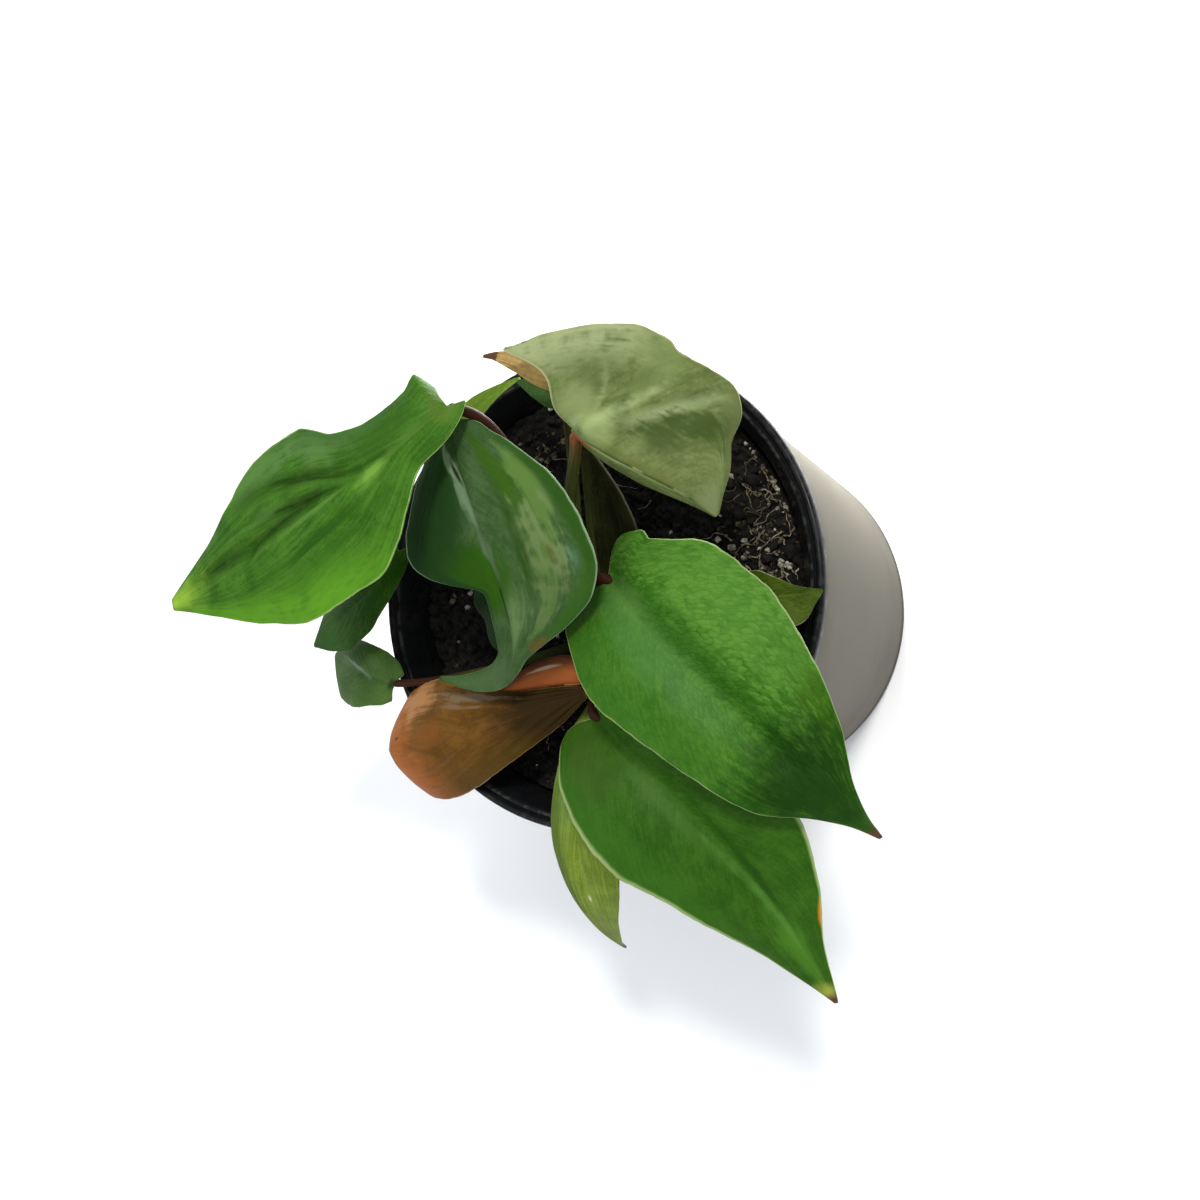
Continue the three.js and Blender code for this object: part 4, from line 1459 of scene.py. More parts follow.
FINISHES: dict[str, LeafFinish] = {
    "leaf_front_upper": LeafFinish(
        deep=(0.023, 0.097, 0.004), light=(0.066, 0.172, 0.017), vein=(0.06, 0.165, 0.016),
        rib=(0.07, 0.17, 0.02), margin=CREAM, under=GREEN_UNDER, across=2.6, net_share=1.5,
        net_lean=0.75, vein_share=0.15, net_along=5.5, net_out=18.0, rib_share=0.15,
        tip_start=0.962, margin_width=0.02,
        patches=(
            # Painted highlight along the midrib, and painted sheen over the right half.
            Patch(0.12, 0.3, 0.42, 0.5, (0.055, 0.155, 0.034), 0.6, 3),
            Patch(0.85, 0.4, 0.7, 0.5, (0.024, 0.1, 0.007), 0.5),
            # Painted shade in the fold left of the midrib, then a painted highlight at the base.
            Patch(-0.22, 0.38, 0.2, 0.6, (0.014, 0.08, 0.002), 0.65, 3),
            Patch(-0.05, 0.15, 0.3, 0.14, (0.085, 0.185, 0.035), 0.55),
            Patch(-0.85, 0.6, 0.24, 0.1, (0.02, 0.085, 0.004), 0.6, 0, 1.6, -0.2),
            Patch(-0.72, 0.4, 0.55, 0.4, (0.085, 0.215, 0.028), 0.5, 0, 1.2),
            Patch(-0.82, 0.7, 0.26, 0.1, (0.05, 0.12, 0.004), 0.5, 0, 1.4),
            Patch(0.05, 0.8, 1.9, 0.2, (0.003, 0.026, 0.001), 0.85, 0, 0.7),
            Patch(0.0, 0.93, 2.0, 0.16, (0.008, 0.04, 0.002), 0.7),
            # Painted shadow of leaf_centre on the right base lobe.
            Patch(0.8, 0.05, 0.8, 0.25, (0.02, 0.07, 0.004), 0.6),
        ),
    ),
    "leaf_front_lower": LeafFinish(
        deep=(0.018, 0.068, 0.003), light=(0.034, 0.108, 0.007), vein=(0.045, 0.125, 0.014),
        rib=(0.045, 0.13, 0.014), margin=CREAM, under=GREEN_UNDER, across=3.2, net_share=0.2,
        vein_share=0.1, rib_share=0.2, tip_start=0.972, margin_width=0.075,
        patches=(
            Patch(0.45, 0.12, 0.5, 0.24, (0.034, 0.075, 0.009), 0.7),
            stroke((0.1, 0.2), (0.12, 0.6), 0.12, (0.05, 0.13, 0.016), 0.6),
            Patch(0.85, 0.45, 0.4, 0.5, (0.03, 0.11, 0.008), 0.5),
            Patch(0.05, 0.88, 0.5, 0.16, (0.06, 0.17, 0.014), 0.7),
            stroke((0.06, 0.55), (0.02, 0.96), 0.09, (0.065, 0.17, 0.025), 0.75, 1.0, 0.0),
            stroke((-0.14, 0.4), (-0.1, 0.84), 0.09, (0.012, 0.05, 0.003), 0.7, 1.0, 0.0),
            Patch(0.0, 0.985, 1.6, 0.05, (0.3, 0.33, 0.05), 0.9),
            Patch(-0.98, 0.81, 0.14, 0.035, (0.5, 0.17, 0.01), 0.9),
        ),
    ),
    "leaf_left": LeafFinish(
        deep=(0.02, 0.076, 0.003), light=(0.052, 0.155, 0.012), vein=(0.075, 0.185, 0.028),
        rib=(0.085, 0.2, 0.024), margin=(0.26, 0.42, 0.1), under=GREEN_UNDER, along=5.0, across=5.5,
        net_along=6.0, net_out=12.0, net_share=0.5, rib_share=0.1,
        patches=(
            Patch(0.7, 0.46, 0.4, 0.13, (0.085, 0.175, 0.045), 0.8, 0, 1.6, 0.0),
            Patch(0.5, 0.28, 0.5, 0.2, (0.028, 0.088, 0.007), 0.7),
            Patch(0.95, 0.3, 0.3, 0.34, (0.045, 0.1, 0.03), 0.6),
            Patch(0.85, 0.64, 0.3, 0.14, (0.09, 0.19, 0.05), 0.6, 0, 1.0),
            # Dark strokes along the valley creases, wide and then thin: painted shade in the
            # valleys.
            stroke((0.12, 0.36), (0.66, 0.64), 0.11, (0.013, 0.05, 0.001), 0.85, 0.6, 0.1),
            stroke((0.5, 0.6), (0.9, 0.76), 0.13, (0.02, 0.066, 0.003), 0.75, 0.6, 0.0),
            stroke((0.02, 0.4), (0.39, 0.71), 0.09, (0.012, 0.05, 0.001), 0.85, 0.6, 0.1),
            stroke((0.18, 0.5), (0.1, 0.74), 0.15, (0.01, 0.042, 0.001), 0.9, 0.6, 0.1),
            stroke((0.08, 0.7), (0.42, 0.94), 0.2, (0.012, 0.05, 0.001), 0.9, 0.6, 0.1),
            stroke((0.14, 0.4), (0.62, 0.63), 0.03, (0.004, 0.022, 0.001), 0.85, 0.5, 0.0),
            stroke((0.32, 0.46), (0.74, 0.68), 0.025, (0.006, 0.03, 0.001), 0.75, 0.5, 0.0),
            stroke((0.05, 0.42), (0.38, 0.7), 0.026, (0.004, 0.022, 0.001), 0.85, 0.5, 0.0),
            stroke((0.17, 0.52), (0.13, 0.74), 0.04, (0.003, 0.018, 0.001), 0.85, 0.5, 0.0),
            stroke((0.14, 0.72), (0.4, 0.9), 0.045, (0.005, 0.026, 0.001), 0.8, 0.5, 0.0),
            stroke((-0.24, 0.44), (-0.32, 0.62), 0.03, (0.01, 0.045, 0.002), 0.7, 0.5, 0.0),
            Patch(0.3, 0.62, 0.6, 0.3, (0.07, 0.14, 0.02), 0.45, 0, 3.4, -1.0),
            # Painted highlight on the ridge by the midrib, painted shade in the two valleys of the
            # left half, and painted highlight between two valleys of the right half.
            stroke((0.0, 0.4), (-0.02, 0.66), 0.05, (0.09, 0.2, 0.03), 0.6),
            stroke((-0.2, 0.42), (-0.28, 0.64), 0.09, (0.014, 0.062, 0.002), 0.7),
            stroke((-0.38, 0.42), (-0.6, 0.68), 0.1, (0.02, 0.085, 0.003), 0.6),
            stroke((0.3, 0.6), (0.5, 0.78), 0.08, (0.07, 0.165, 0.03), 0.55, 1.0),
            Patch(-0.06, 0.35, 0.17, 0.075, (0.14, 0.29, 0.036), 0.9, 0, 0.9),
            stroke((-0.02, 0.32), (0.1, 0.1), 0.16, (0.065, 0.145, 0.02), 0.75, 0.8),
            Patch(-0.1, 0.05, 1.0, 0.08, (0.085, 0.15, 0.02), 0.6),
            # Painted glow of light shining through the blade near its left margin.
            Patch(-0.92, 0.66, 0.56, 0.4, (0.09, 0.26, 0.012), 0.85),
            Patch(-0.6, 0.56, 0.6, 0.34, (0.03, 0.11, 0.005), 0.7, 0, 3.0, -0.9),
            Patch(0.1, 1.0, 1.6, 0.15, (0.26, 0.45, 0.04), 1.0, 0, 0.6, -0.1),
        ),
    ),
    "leaf_centre": LeafFinish(
        # The grey-blue of this lamina is partly painted reflection of the pale sky, and its own
        # gloss is nearly off.
        deep=(0.029, 0.065, 0.018), light=(0.055, 0.104, 0.036), vein=(0.05, 0.11, 0.03),
        rib=(0.05, 0.09, 0.03), margin=(0.24, 0.36, 0.2), under=GREEN_UNDER, across=2.2, along=5.0,
        net_share=0.15, vein_share=0.06, rib_share=0.2, rib_width=0.06, streak=0.35, roughness=0.42,
        shine=0.006,
        patches=(
            stroke((-0.5, 0.06), (-0.55, 0.32), 0.2, (0.03, 0.085, 0.004), 0.8, 0.5),
            # Painted sheen: a pale streaky band over the left half.
            stroke((-0.8, 0.14), (-0.68, 0.38), 0.15, (0.085, 0.16, 0.034), 0.9, 1.1, 0.5),
            stroke((-0.62, 0.3), (-0.52, 0.5), 0.24, (0.08, 0.138, 0.034), 0.95, 1.4, 0.3),
            stroke((-0.5, 0.48), (-0.6, 0.58), 0.14, (0.085, 0.15, 0.04), 0.8, 1.4, 0.3),
            # Painted highlight.
            Patch(-0.6, 0.42, 0.26, 0.12, (0.19, 0.24, 0.11), 0.75, 0, 4.5, -0.9),
            Patch(-0.56, 0.46, 0.26, 0.12, (0.035, 0.065, 0.012), 0.6, 0, 4.5, -1.1),
            Patch(-0.6, 0.405, 0.07, 0.03, (0.05, 0.07, 0.008), 0.7, 0, 1.8, -0.2),
            # Painted highlight: a small bluish glint.
            Patch(-0.82, 0.43, 0.09, 0.04, (0.1, 0.21, 0.13), 0.7, 0, 1.8, -0.4),
            Patch(-0.95, 0.34, 0.16, 0.4, (0.02, 0.064, 0.006), 0.85),
            Patch(-0.86, 0.54, 0.2, 0.12, (0.03, 0.085, 0.012), 0.85),
            stroke((-0.4, 0.24), (-0.34, 0.5), 0.08, (0.016, 0.05, 0.004), 0.7),
            stroke((-0.2, 0.46), (-0.1, 0.7), 0.22, (0.1, 0.165, 0.06), 0.9, 0.9),
            Patch(0.0, 0.83, 1.4, 0.2, (0.07, 0.115, 0.045), 0.6, 0, 0.9),
            # Painted shade over the right half.
            Patch(0.45, 0.42, 0.8, 0.13, (0.021, 0.072, 0.004), 0.95, 0, 0.3, 0.6),
            Patch(0.62, 0.2, 0.72, 0.22, (0.016, 0.05, 0.011), 0.95, 0, 0.2, 0.6),
            Patch(0.95, 0.34, 0.42, 0.3, (0.014, 0.044, 0.009), 0.9, 0, 0.2, 0.5),
            # The pale midrib near the base, brightened by a painted highlight.
            stroke((0.26, 0.05), (0.02, 0.17), 0.06, (0.17, 0.25, 0.14), 0.95, 0.9, 0.4),
            stroke((0.04, 0.15), (-0.02, 0.3), 0.075, (0.12, 0.185, 0.1), 0.95, 0.9, 0.4),
            stroke((-0.01, 0.28), (-0.04, 0.44), 0.07, (0.08, 0.128, 0.062), 0.9, 0.9, 0.3),
            # Painted shade: a thin dark slit beside the midrib.
            stroke((0.08, 0.12), (0.01, 0.19), 0.022, (0.008, 0.014, 0.008), 0.95, 0.3),
            Patch(-0.85, 0.61, 0.3, 0.035, (0.1, 0.065, 0.02)),
        ),
    ),
    "leaf_back": LeafFinish(
        deep=(0.078, 0.108, 0.028), light=(0.145, 0.184, 0.06), vein=(0.2, 0.25, 0.1),
        rib=(0.17, 0.21, 0.08), margin=(0.42, 0.42, 0.22), under=(0.2, 0.2, 0.08), along=4.0,
        across=2.0, net_share=0.35, vein_share=0.1, margin_width=0.018, roughness=0.55,
        patches=(
            Patch(-0.95, 0.06, 0.4, 0.3, (0.31, 0.35, 0.17), 0.85, 0, 0.8),
            Patch(-0.35, 0.06, 0.3, 0.1, (0.19, 0.235, 0.09)),
            Patch(-0.9, 0.34, 0.3, 0.2, (0.16, 0.21, 0.07), 0.6),
            Patch(-0.16, 0.18, 0.2, 0.16, (0.26, 0.33, 0.12)),
            stroke((-0.14, 0.14), (-0.72, 0.42), 0.1, (0.32, 0.39, 0.17), 0.8, 0.5, 0.0),
            stroke((-0.2, 0.24), (-0.94, 0.78), 0.09, (0.33, 0.4, 0.18), 0.85, 0.5, 0.0),
            stroke((-0.2, 0.15), (-0.76, 0.13), 0.06, (0.26, 0.31, 0.14), 0.7, 1.2, -0.3),
            stroke((-0.16, 0.1), (-0.2, 0.01), 0.1, (0.28, 0.34, 0.15), 0.7, 0.9, -0.2),
            stroke((-0.4, 0.16), (-0.8, 0.42), 0.07, (0.15, 0.2, 0.06), 0.4),
            # Painted shade along a valley crease.
            stroke((-0.32, 0.42), (-0.72, 0.86), 0.17, (0.038, 0.066, 0.012), 0.9, 1.4, 0.3),
            Patch(-0.3, 0.5, 0.2, 0.16, (0.04, 0.066, 0.014), 0.7),
            Patch(-0.95, 0.86, 0.34, 0.2, (0.09, 0.115, 0.035)),
            Patch(-0.2, 0.95, 0.6, 0.14, (0.17, 0.2, 0.085)),
            Patch(-0.68, 0.1, 0.34, 0.11, (0.06, 0.09, 0.022), 0.75, 0, 3.2, -0.8),
            Patch(-0.42, 0.24, 0.13, 0.07, (0.035, 0.06, 0.01), 0.9, 30, 1.6, -0.2),
            Patch(-0.5, 0.13, 0.1, 0.05, (0.05, 0.08, 0.018), 0.7, 30, 2.0, -0.4),
            Patch(-0.62, 0.3, 0.2, 0.08, (0.1, 0.14, 0.04), 0.6),
            Patch(-0.88, 0.17, 0.08, 0.03, (0.06, 0.09, 0.02), 0.7, 0, 2.0, -0.3),
            Patch(-0.3, 0.56, 0.26, 0.2, (0.05, 0.07, 0.015), 0.7, 0, 3.0, -1.0),
            stroke((-0.05, 0.2), (-0.04, 0.8), 0.07, (0.1, 0.12, 0.03), 0.6),
        ),
    ),
    "leaf_under_front": LeafFinish(
        deep=(0.1, 0.16, 0.014), light=(0.21, 0.28, 0.03), vein=(0.26, 0.34, 0.06),
        rib=(0.2, 0.28, 0.04), margin=(0.2, 0.24, 0.07), under=OLIVE_UNDER, along=4.0, across=4.0,
        streak=0.5, tip_start=0.975,
        patches=(
            Patch(0.5, 0.3, 0.6, 0.34, (0.12, 0.2, 0.05), 0.7),
            Patch(0.85, 0.55, 0.35, 0.5, (0.05, 0.09, 0.014), 0.7),
            Patch(-0.3, 0.35, 0.4, 0.3, (0.05, 0.08, 0.012), 0.6, 0, 1.2),
            Patch(0.0, 0.95, 1.2, 0.2, (0.11, 0.13, 0.02), 0.6),
            Patch(-0.1, 0.735, 0.09, 0.016, (0.5, 0.55, 0.3), 0.9),
        ),
    ),
    "leaf_young_rolled": LeafFinish(
        deep=(0.085, 0.036, 0.004), light=(0.15, 0.066, 0.009), vein=(0.2, 0.1, 0.03),
        rib=(0.07, 0.03, 0.006), margin=(0.34, 0.22, 0.09), under=ORANGE_UNDER, along=3.0,
        across=3.0, net_share=0.1, vein_share=0.15, rib_share=0.1, streak=0.22, roughness=0.42,
        patches=(
            # Painted shadow of the leaves above over the blade's base half.
            Patch(0.0, 0.18, 3.4, 0.5, (0.016, 0.009, 0.0015), 0.92),
            stroke((0.66, 0.4), (0.7, 0.72), 0.16, (0.16, 0.12, 0.08), 0.7, 1.6),
            stroke((0.45, 0.5), (0.5, 0.78), 0.06, (0.17, 0.12, 0.07), 0.6, 1.6),
            Patch(-0.9, 0.58, 0.6, 0.4, (0.06, 0.035, 0.003), 0.7),
            Patch(-0.6, 1.0, 1.1, 0.24, (0.33, 0.085, 0.008), 0.95, 0, 0.5, 0.0),
            Patch(0.5, 1.0, 1.4, 0.17, (0.33, 0.1, 0.014), 0.9, 0, 0.5, 0.0),
            Patch(0.75, 0.88, 0.5, 0.12, (0.42, 0.2, 0.08), 0.8, 0, 1.0),
            Patch(0.15, 0.8, 0.3, 0.1, (0.2, 0.065, 0.012), 0.6),
            stroke((0.1, 0.96), (-0.28, 0.74), 0.05, (0.08, 0.03, 0.005), 0.5, 0.8, 0.0),
            Patch(0.2, 0.965, 0.04, 0.014, (0.04, 0.015, 0.005), 0.9),
        ),
    ),
    "leaf_young_far_wall": LeafFinish(
        deep=(0.06, 0.018, 0.006), light=(0.11, 0.032, 0.012), vein=(0.16, 0.06, 0.02),
        rib=(0.5, 0.42, 0.14), margin=(0.1, 0.03, 0.012), under=ORANGE_UNDER, along=2.0, across=1.0,
        vein_share=0.2, net_share=0.1, rib_share=0.8, rib_width=0.12,
        patches=(
            Patch(0.32, 0.45, 0.6, 0.9, (0.36, 0.1, 0.025), 0.95, 0, 0.2),
            Patch(0.74, 0.5, 0.08, 0.22, (0.4, 0.3, 0.2)),
        ),
    ),
    "leaf_small_hanging": LeafFinish(
        deep=(0.045, 0.1, 0.016), light=(0.075, 0.145, 0.03), vein=(0.08, 0.14, 0.05),
        rib=(0.12, 0.18, 0.1), margin=(0.2, 0.3, 0.1), under=GREEN_UNDER, roughness=0.4,
        patches=(
            Patch(0.45, 0.62, 0.5, 0.3, (0.02, 0.06, 0.01), 0.8, 0, 1.2),
            Patch(-0.55, 0.72, 0.5, 0.14, (0.04, 0.1, 0.018), 0.6),
            Patch(0.45, 0.3, 0.3, 0.24, (0.09, 0.16, 0.05), 0.7, 0, 1.4),
            # Painted highlight: a whitish streak.
            stroke((-0.1, 0.36), (0.25, 0.82), 0.1, (0.17, 0.23, 0.15), 0.9, 1.0),
            Patch(-0.12, 0.5, 0.12, 0.08, (0.02, 0.05, 0.01), 0.7),
            Patch(0.0, 0.04, 0.5, 0.07, (0.008, 0.02, 0.003)),
            Patch(0.9, 0.6, 0.3, 0.5, (0.018, 0.055, 0.004), 0.7),
        ),
    ),
    "leaf_left_lower": LeafFinish(
        deep=(0.009, 0.036, 0.002), light=(0.024, 0.072, 0.005), vein=(0.04, 0.1, 0.02),
        rib=(0.05, 0.1, 0.03), margin=(0.05, 0.09, 0.02), under=GREEN_UNDER, shine=0.02,
        patches=(
            Patch(-0.4, 0.4, 0.3, 0.3, (0.012, 0.05, 0.002), 0.7),
            Patch(-0.2, 0.88, 1.4, 0.22, (0.03, 0.1, 0.009)),
        ),
    ),
    "leaf_small_back_left": LeafFinish(
        deep=(0.08, 0.15, 0.012), light=(0.14, 0.23, 0.024), vein=(0.17, 0.26, 0.04),
        rib=(0.17, 0.26, 0.04), margin=(0.2, 0.28, 0.07), under=OLIVE_UNDER,
    ),
    "leaf_small_back": LeafFinish(
        deep=(0.018, 0.055, 0.006), light=(0.035, 0.09, 0.012), vein=(0.06, 0.13, 0.03),
        rib=(0.06, 0.13, 0.03), margin=(0.1, 0.18, 0.06), under=GREEN_UNDER,
    ),
    "leaf_small_right": LeafFinish(
        deep=(0.024, 0.05, 0.003), light=(0.065, 0.1, 0.008), vein=(0.12, 0.16, 0.025),
        rib=(0.12, 0.16, 0.025), margin=(0.14, 0.17, 0.04), under=OLIVE_UNDER,
    ),
    "leaf_inner": LeafFinish(
        deep=(0.01, 0.025, 0.008), light=(0.02, 0.045, 0.018), vein=(0.03, 0.06, 0.03),
        rib=(0.04, 0.07, 0.035), margin=(0.05, 0.08, 0.04), under=GREEN_UNDER, roughness=0.3,
    ),
    "leaf_young_back": LeafFinish(
        deep=(0.26, 0.165, 0.055), light=(0.45, 0.31, 0.11), vein=(0.3, 0.18, 0.07),
        rib=(0.26, 0.15, 0.06), margin=(0.3, 0.22, 0.09), under=ORANGE_UNDER, along=2.0, across=2.0,
        net_share=0.1, tip_start=0.82,
    ),
    "sheath": LeafFinish(
        deep=(0.01, 0.012, 0.003), light=(0.03, 0.032, 0.009), vein=(0.045, 0.045, 0.014),
        rib=(0.03, 0.025, 0.01), margin=(0.06, 0.05, 0.02), under=(0.05, 0.045, 0.015), along=1.0,
        across=-5.0, roughness=0.6, patches=(Patch(0.0, 0.08, 2.4, 0.22, (0.07, 0.018, 0.012)),),
    ),
}


def raised_shell(name: str, outline: Sequence[Span], sides: int = 128) -> bpy.types.Object:
    """A round closed shell, drawn up from a disc by extruding and resizing its face.

    Args:
        name: the piece's name.
        outline: (radius, height) pairs in millimetres, from the underside's edge inwards.
        sides: how many faces it has round it.

    Returns:
        The piece.
    """
    deselect()
    radius, height = outline[0]
    bpy.ops.mesh.primitive_circle_add(
        vertices=sides, radius=radius * MM, fill_type="NGON", location=(0, 0, height * MM)
    )
    piece = bpy.context.active_object
    piece.name = piece.data.name = name
    bpy.ops.object.transform_apply(location=True, rotation=True, scale=True)
    bpy.ops.object.mode_set(mode="EDIT")
    bpy.ops.mesh.select_mode(type="FACE")
    bpy.ops.mesh.select_all(action="SELECT")
    for next_radius, next_height in outline[1:]:
        rise = (0, 0, (next_height - height) * MM)
        bpy.ops.mesh.extrude_region_move(TRANSFORM_OT_translate={"value": rise})
        share = next_radius / radius
        middle = (0, 0, next_height * MM)
        bpy.ops.transform.resize(value=(share, share, 1), center_override=middle)
        radius, height = next_radius, next_height
    close_up()
    return piece


@dataclass
class CoverPot:
    """The plain tapered pot that holds the nursery pot."""

    base_radius: float = 45.5
    top_radius: float = 55.2
    height: float = 98.4
    wall: float = 2.2
    floor: float = 3.0
    foot_round: tuple[Span, Span] = ((1.6, 0), (0.6, 0.25))  # how far in, and how high
    wall_start: float = 1.2
    rings: int = 6
    lip_round: float = 0.5
    finish: CoverFinish = CoverFinish()

    def build(self) -> bpy.types.Object:
        """Draws up the wall and rounds its edges."""
        slope = (self.top_radius - self.base_radius) / self.height
        low, rise = self.base_radius + slope * self.wall_start, self.height - self.wall_start
        shares = [i / self.rings for i in range(self.rings + 1)]
        outline = [
            *((self.base_radius - inset, height) for inset, height in self.foot_round),
            *((low + (self.top_radius - low) * i, self.wall_start + rise * i) for i in shares),
            (self.top_radius - self.wall, self.height),
            (self.base_radius - self.wall + slope * self.floor, self.floor),
        ]
        piece = raised_shell("cover_pot_wall", outline)
        edges = {"limit_method": "ANGLE", "angle_limit": math.radians(50)}
        apply_modifier(piece, "BEVEL", width=self.lip_round * MM, segments=3, **edges)
        bpy.ops.object.shade_smooth_by_angle(angle=math.radians(40))
        return piece

    def dress(self, piece: bpy.types.Object) -> None:
        """Gives the wall its finish."""
        coat(piece, self.finish.material())
        hand_over(piece, "cover_pot", "cover_pot")


@dataclass
class NurseryPot:
    """The thin black pot with its stepped rim.

    The lip and its inner step are (inset from the rim's radius, drop from its top) pairs.
    """

    rim_radius: float = 57.0
    rim_top: float = 102.0
    rim_underside: float = 98.7
    rim_edge: Span = (0.3, 0.4)
    lip: tuple[Span, ...] = (
        (0, 0.9), (0.25, 0.25), (0.7, 0), (1.25, 0), (1.6, 0.2), (1.75, 0.75), (2.05, 0.95),
        (2.35, 0.75), (2.5, 0.5), (3.1, 0.5), (3.5, 0.8), (3.75, 1.6),
    )
    step_drop: float = 4.2
    top_radius: float = 52.4
    base_radius: float = 40.5
    foot: float = 3.3
    wall: float = 1.2
    drains: int = 5
    drain_circle: float = 26.0
    drain_radius: float = 4.0
    finish: NurseryFinish = NurseryFinish()

    def build(self) -> bpy.types.Object:
        """Draws up the wall and rim, and drills the drain holes."""
        slope = (self.top_radius - self.base_radius) / (self.rim_underside - self.foot)
        inner = self.base_radius + slope * (self.rim_top - 4 - self.foot) - self.wall
        edge_in, edge_up = self.rim_edge
        outline = [
            (self.base_radius, self.foot),
            (self.top_radius, self.rim_underside),
            (self.rim_radius - edge_in, self.rim_underside),
            (self.rim_radius, self.rim_underside + edge_up),
            *((self.rim_radius - inset, self.rim_top - drop) for inset, drop in self.lip),
            (inner, self.rim_top - self.step_drop),
            (self.base_radius - self.wall, self.foot + self.wall),
        ]
        piece = raised_shell("nursery_pot_shell", outline, 160)
        for i in range(self.drains):
            angle = 2 * math.pi * i / self.drains
            deselect()
            x, y = self.drain_circle * math.cos(angle), self.drain_circle * math.sin(angle)
            place = (x * MM, y * MM, (self.foot + self.wall / 2) * MM)
            bpy.ops.mesh.primitive_cylinder_add(
                vertices=24, radius=self.drain_radius * MM, depth=5 * self.wall * MM, location=place
            )
            drill = bpy.context.active_object
            apply_modifier(piece, "BOOLEAN", operation="DIFFERENCE", object=drill, solver="EXACT")
            bpy.data.objects.remove(drill)
        choose(piece)
        bpy.ops.object.shade_smooth_by_angle(angle=math.radians(50))
        return piece

    def dress(self, piece: bpy.types.Object) -> None:
        """Gives the shell its finish."""
        coat(piece, self.finish.material())
        hand_over(piece, "nursery_pot", "nursery_pot")


LUMPS = ((14, 0.5), (6, 0.6), (2.8, 0.7), (1.4, 0.5), (0.8, 0.35))  # wave length and share


def lumpy(points: np.ndarray, seed: int) -> np.ndarray:
    """Uneven heights for soil: several crossing waves of falling length.

    Args:
        points: x and y of each place, in millimetres.
        seed: chooses the waves.

    Returns:
        Heights of about -1 to 1.
    """
    luck = np.random.default_rng(seed)
    height = np.zeros(len(points))
    total = 0.0
    for length, share in LUMPS:
        for _ in range(7):
            angle, start = luck.uniform(0, 2 * np.pi, 2)
            way = np.array([np.cos(angle), np.sin(angle)]) * 2 * np.pi
            way = way / (length * luck.uniform(0.7, 1.3))
            height += share * np.sin(points @ way + start + 1.5 * np.sin(points @ way[::-1] * 0.37))
        total += share
    return height / (total * 1.5)


@dataclass(frozen=True)
class Bits:
    """Angular bits strewn over the soil: their number, radii, flatness and depth in the soil.

    Flatness is height over width, and depth is in radii. Where there are spots, (x, y, reach),
    two bits in three lie at them, and the rest lie anywhere.
    """

    name: str
    finish: GrainFinish
    seed: int
    count: int
    sizes: Span
    flat: float
    sink: float
    detail: int = 1
    spots: tuple[Spot, ...] = ()
    jagged: Span = (0.68, 1.2)  # how far each corner lies from the middle, in radii
    stretch: Span = (0.8, 1.5)
    small_share: float = 2.2  # the higher, the more of the bits are small


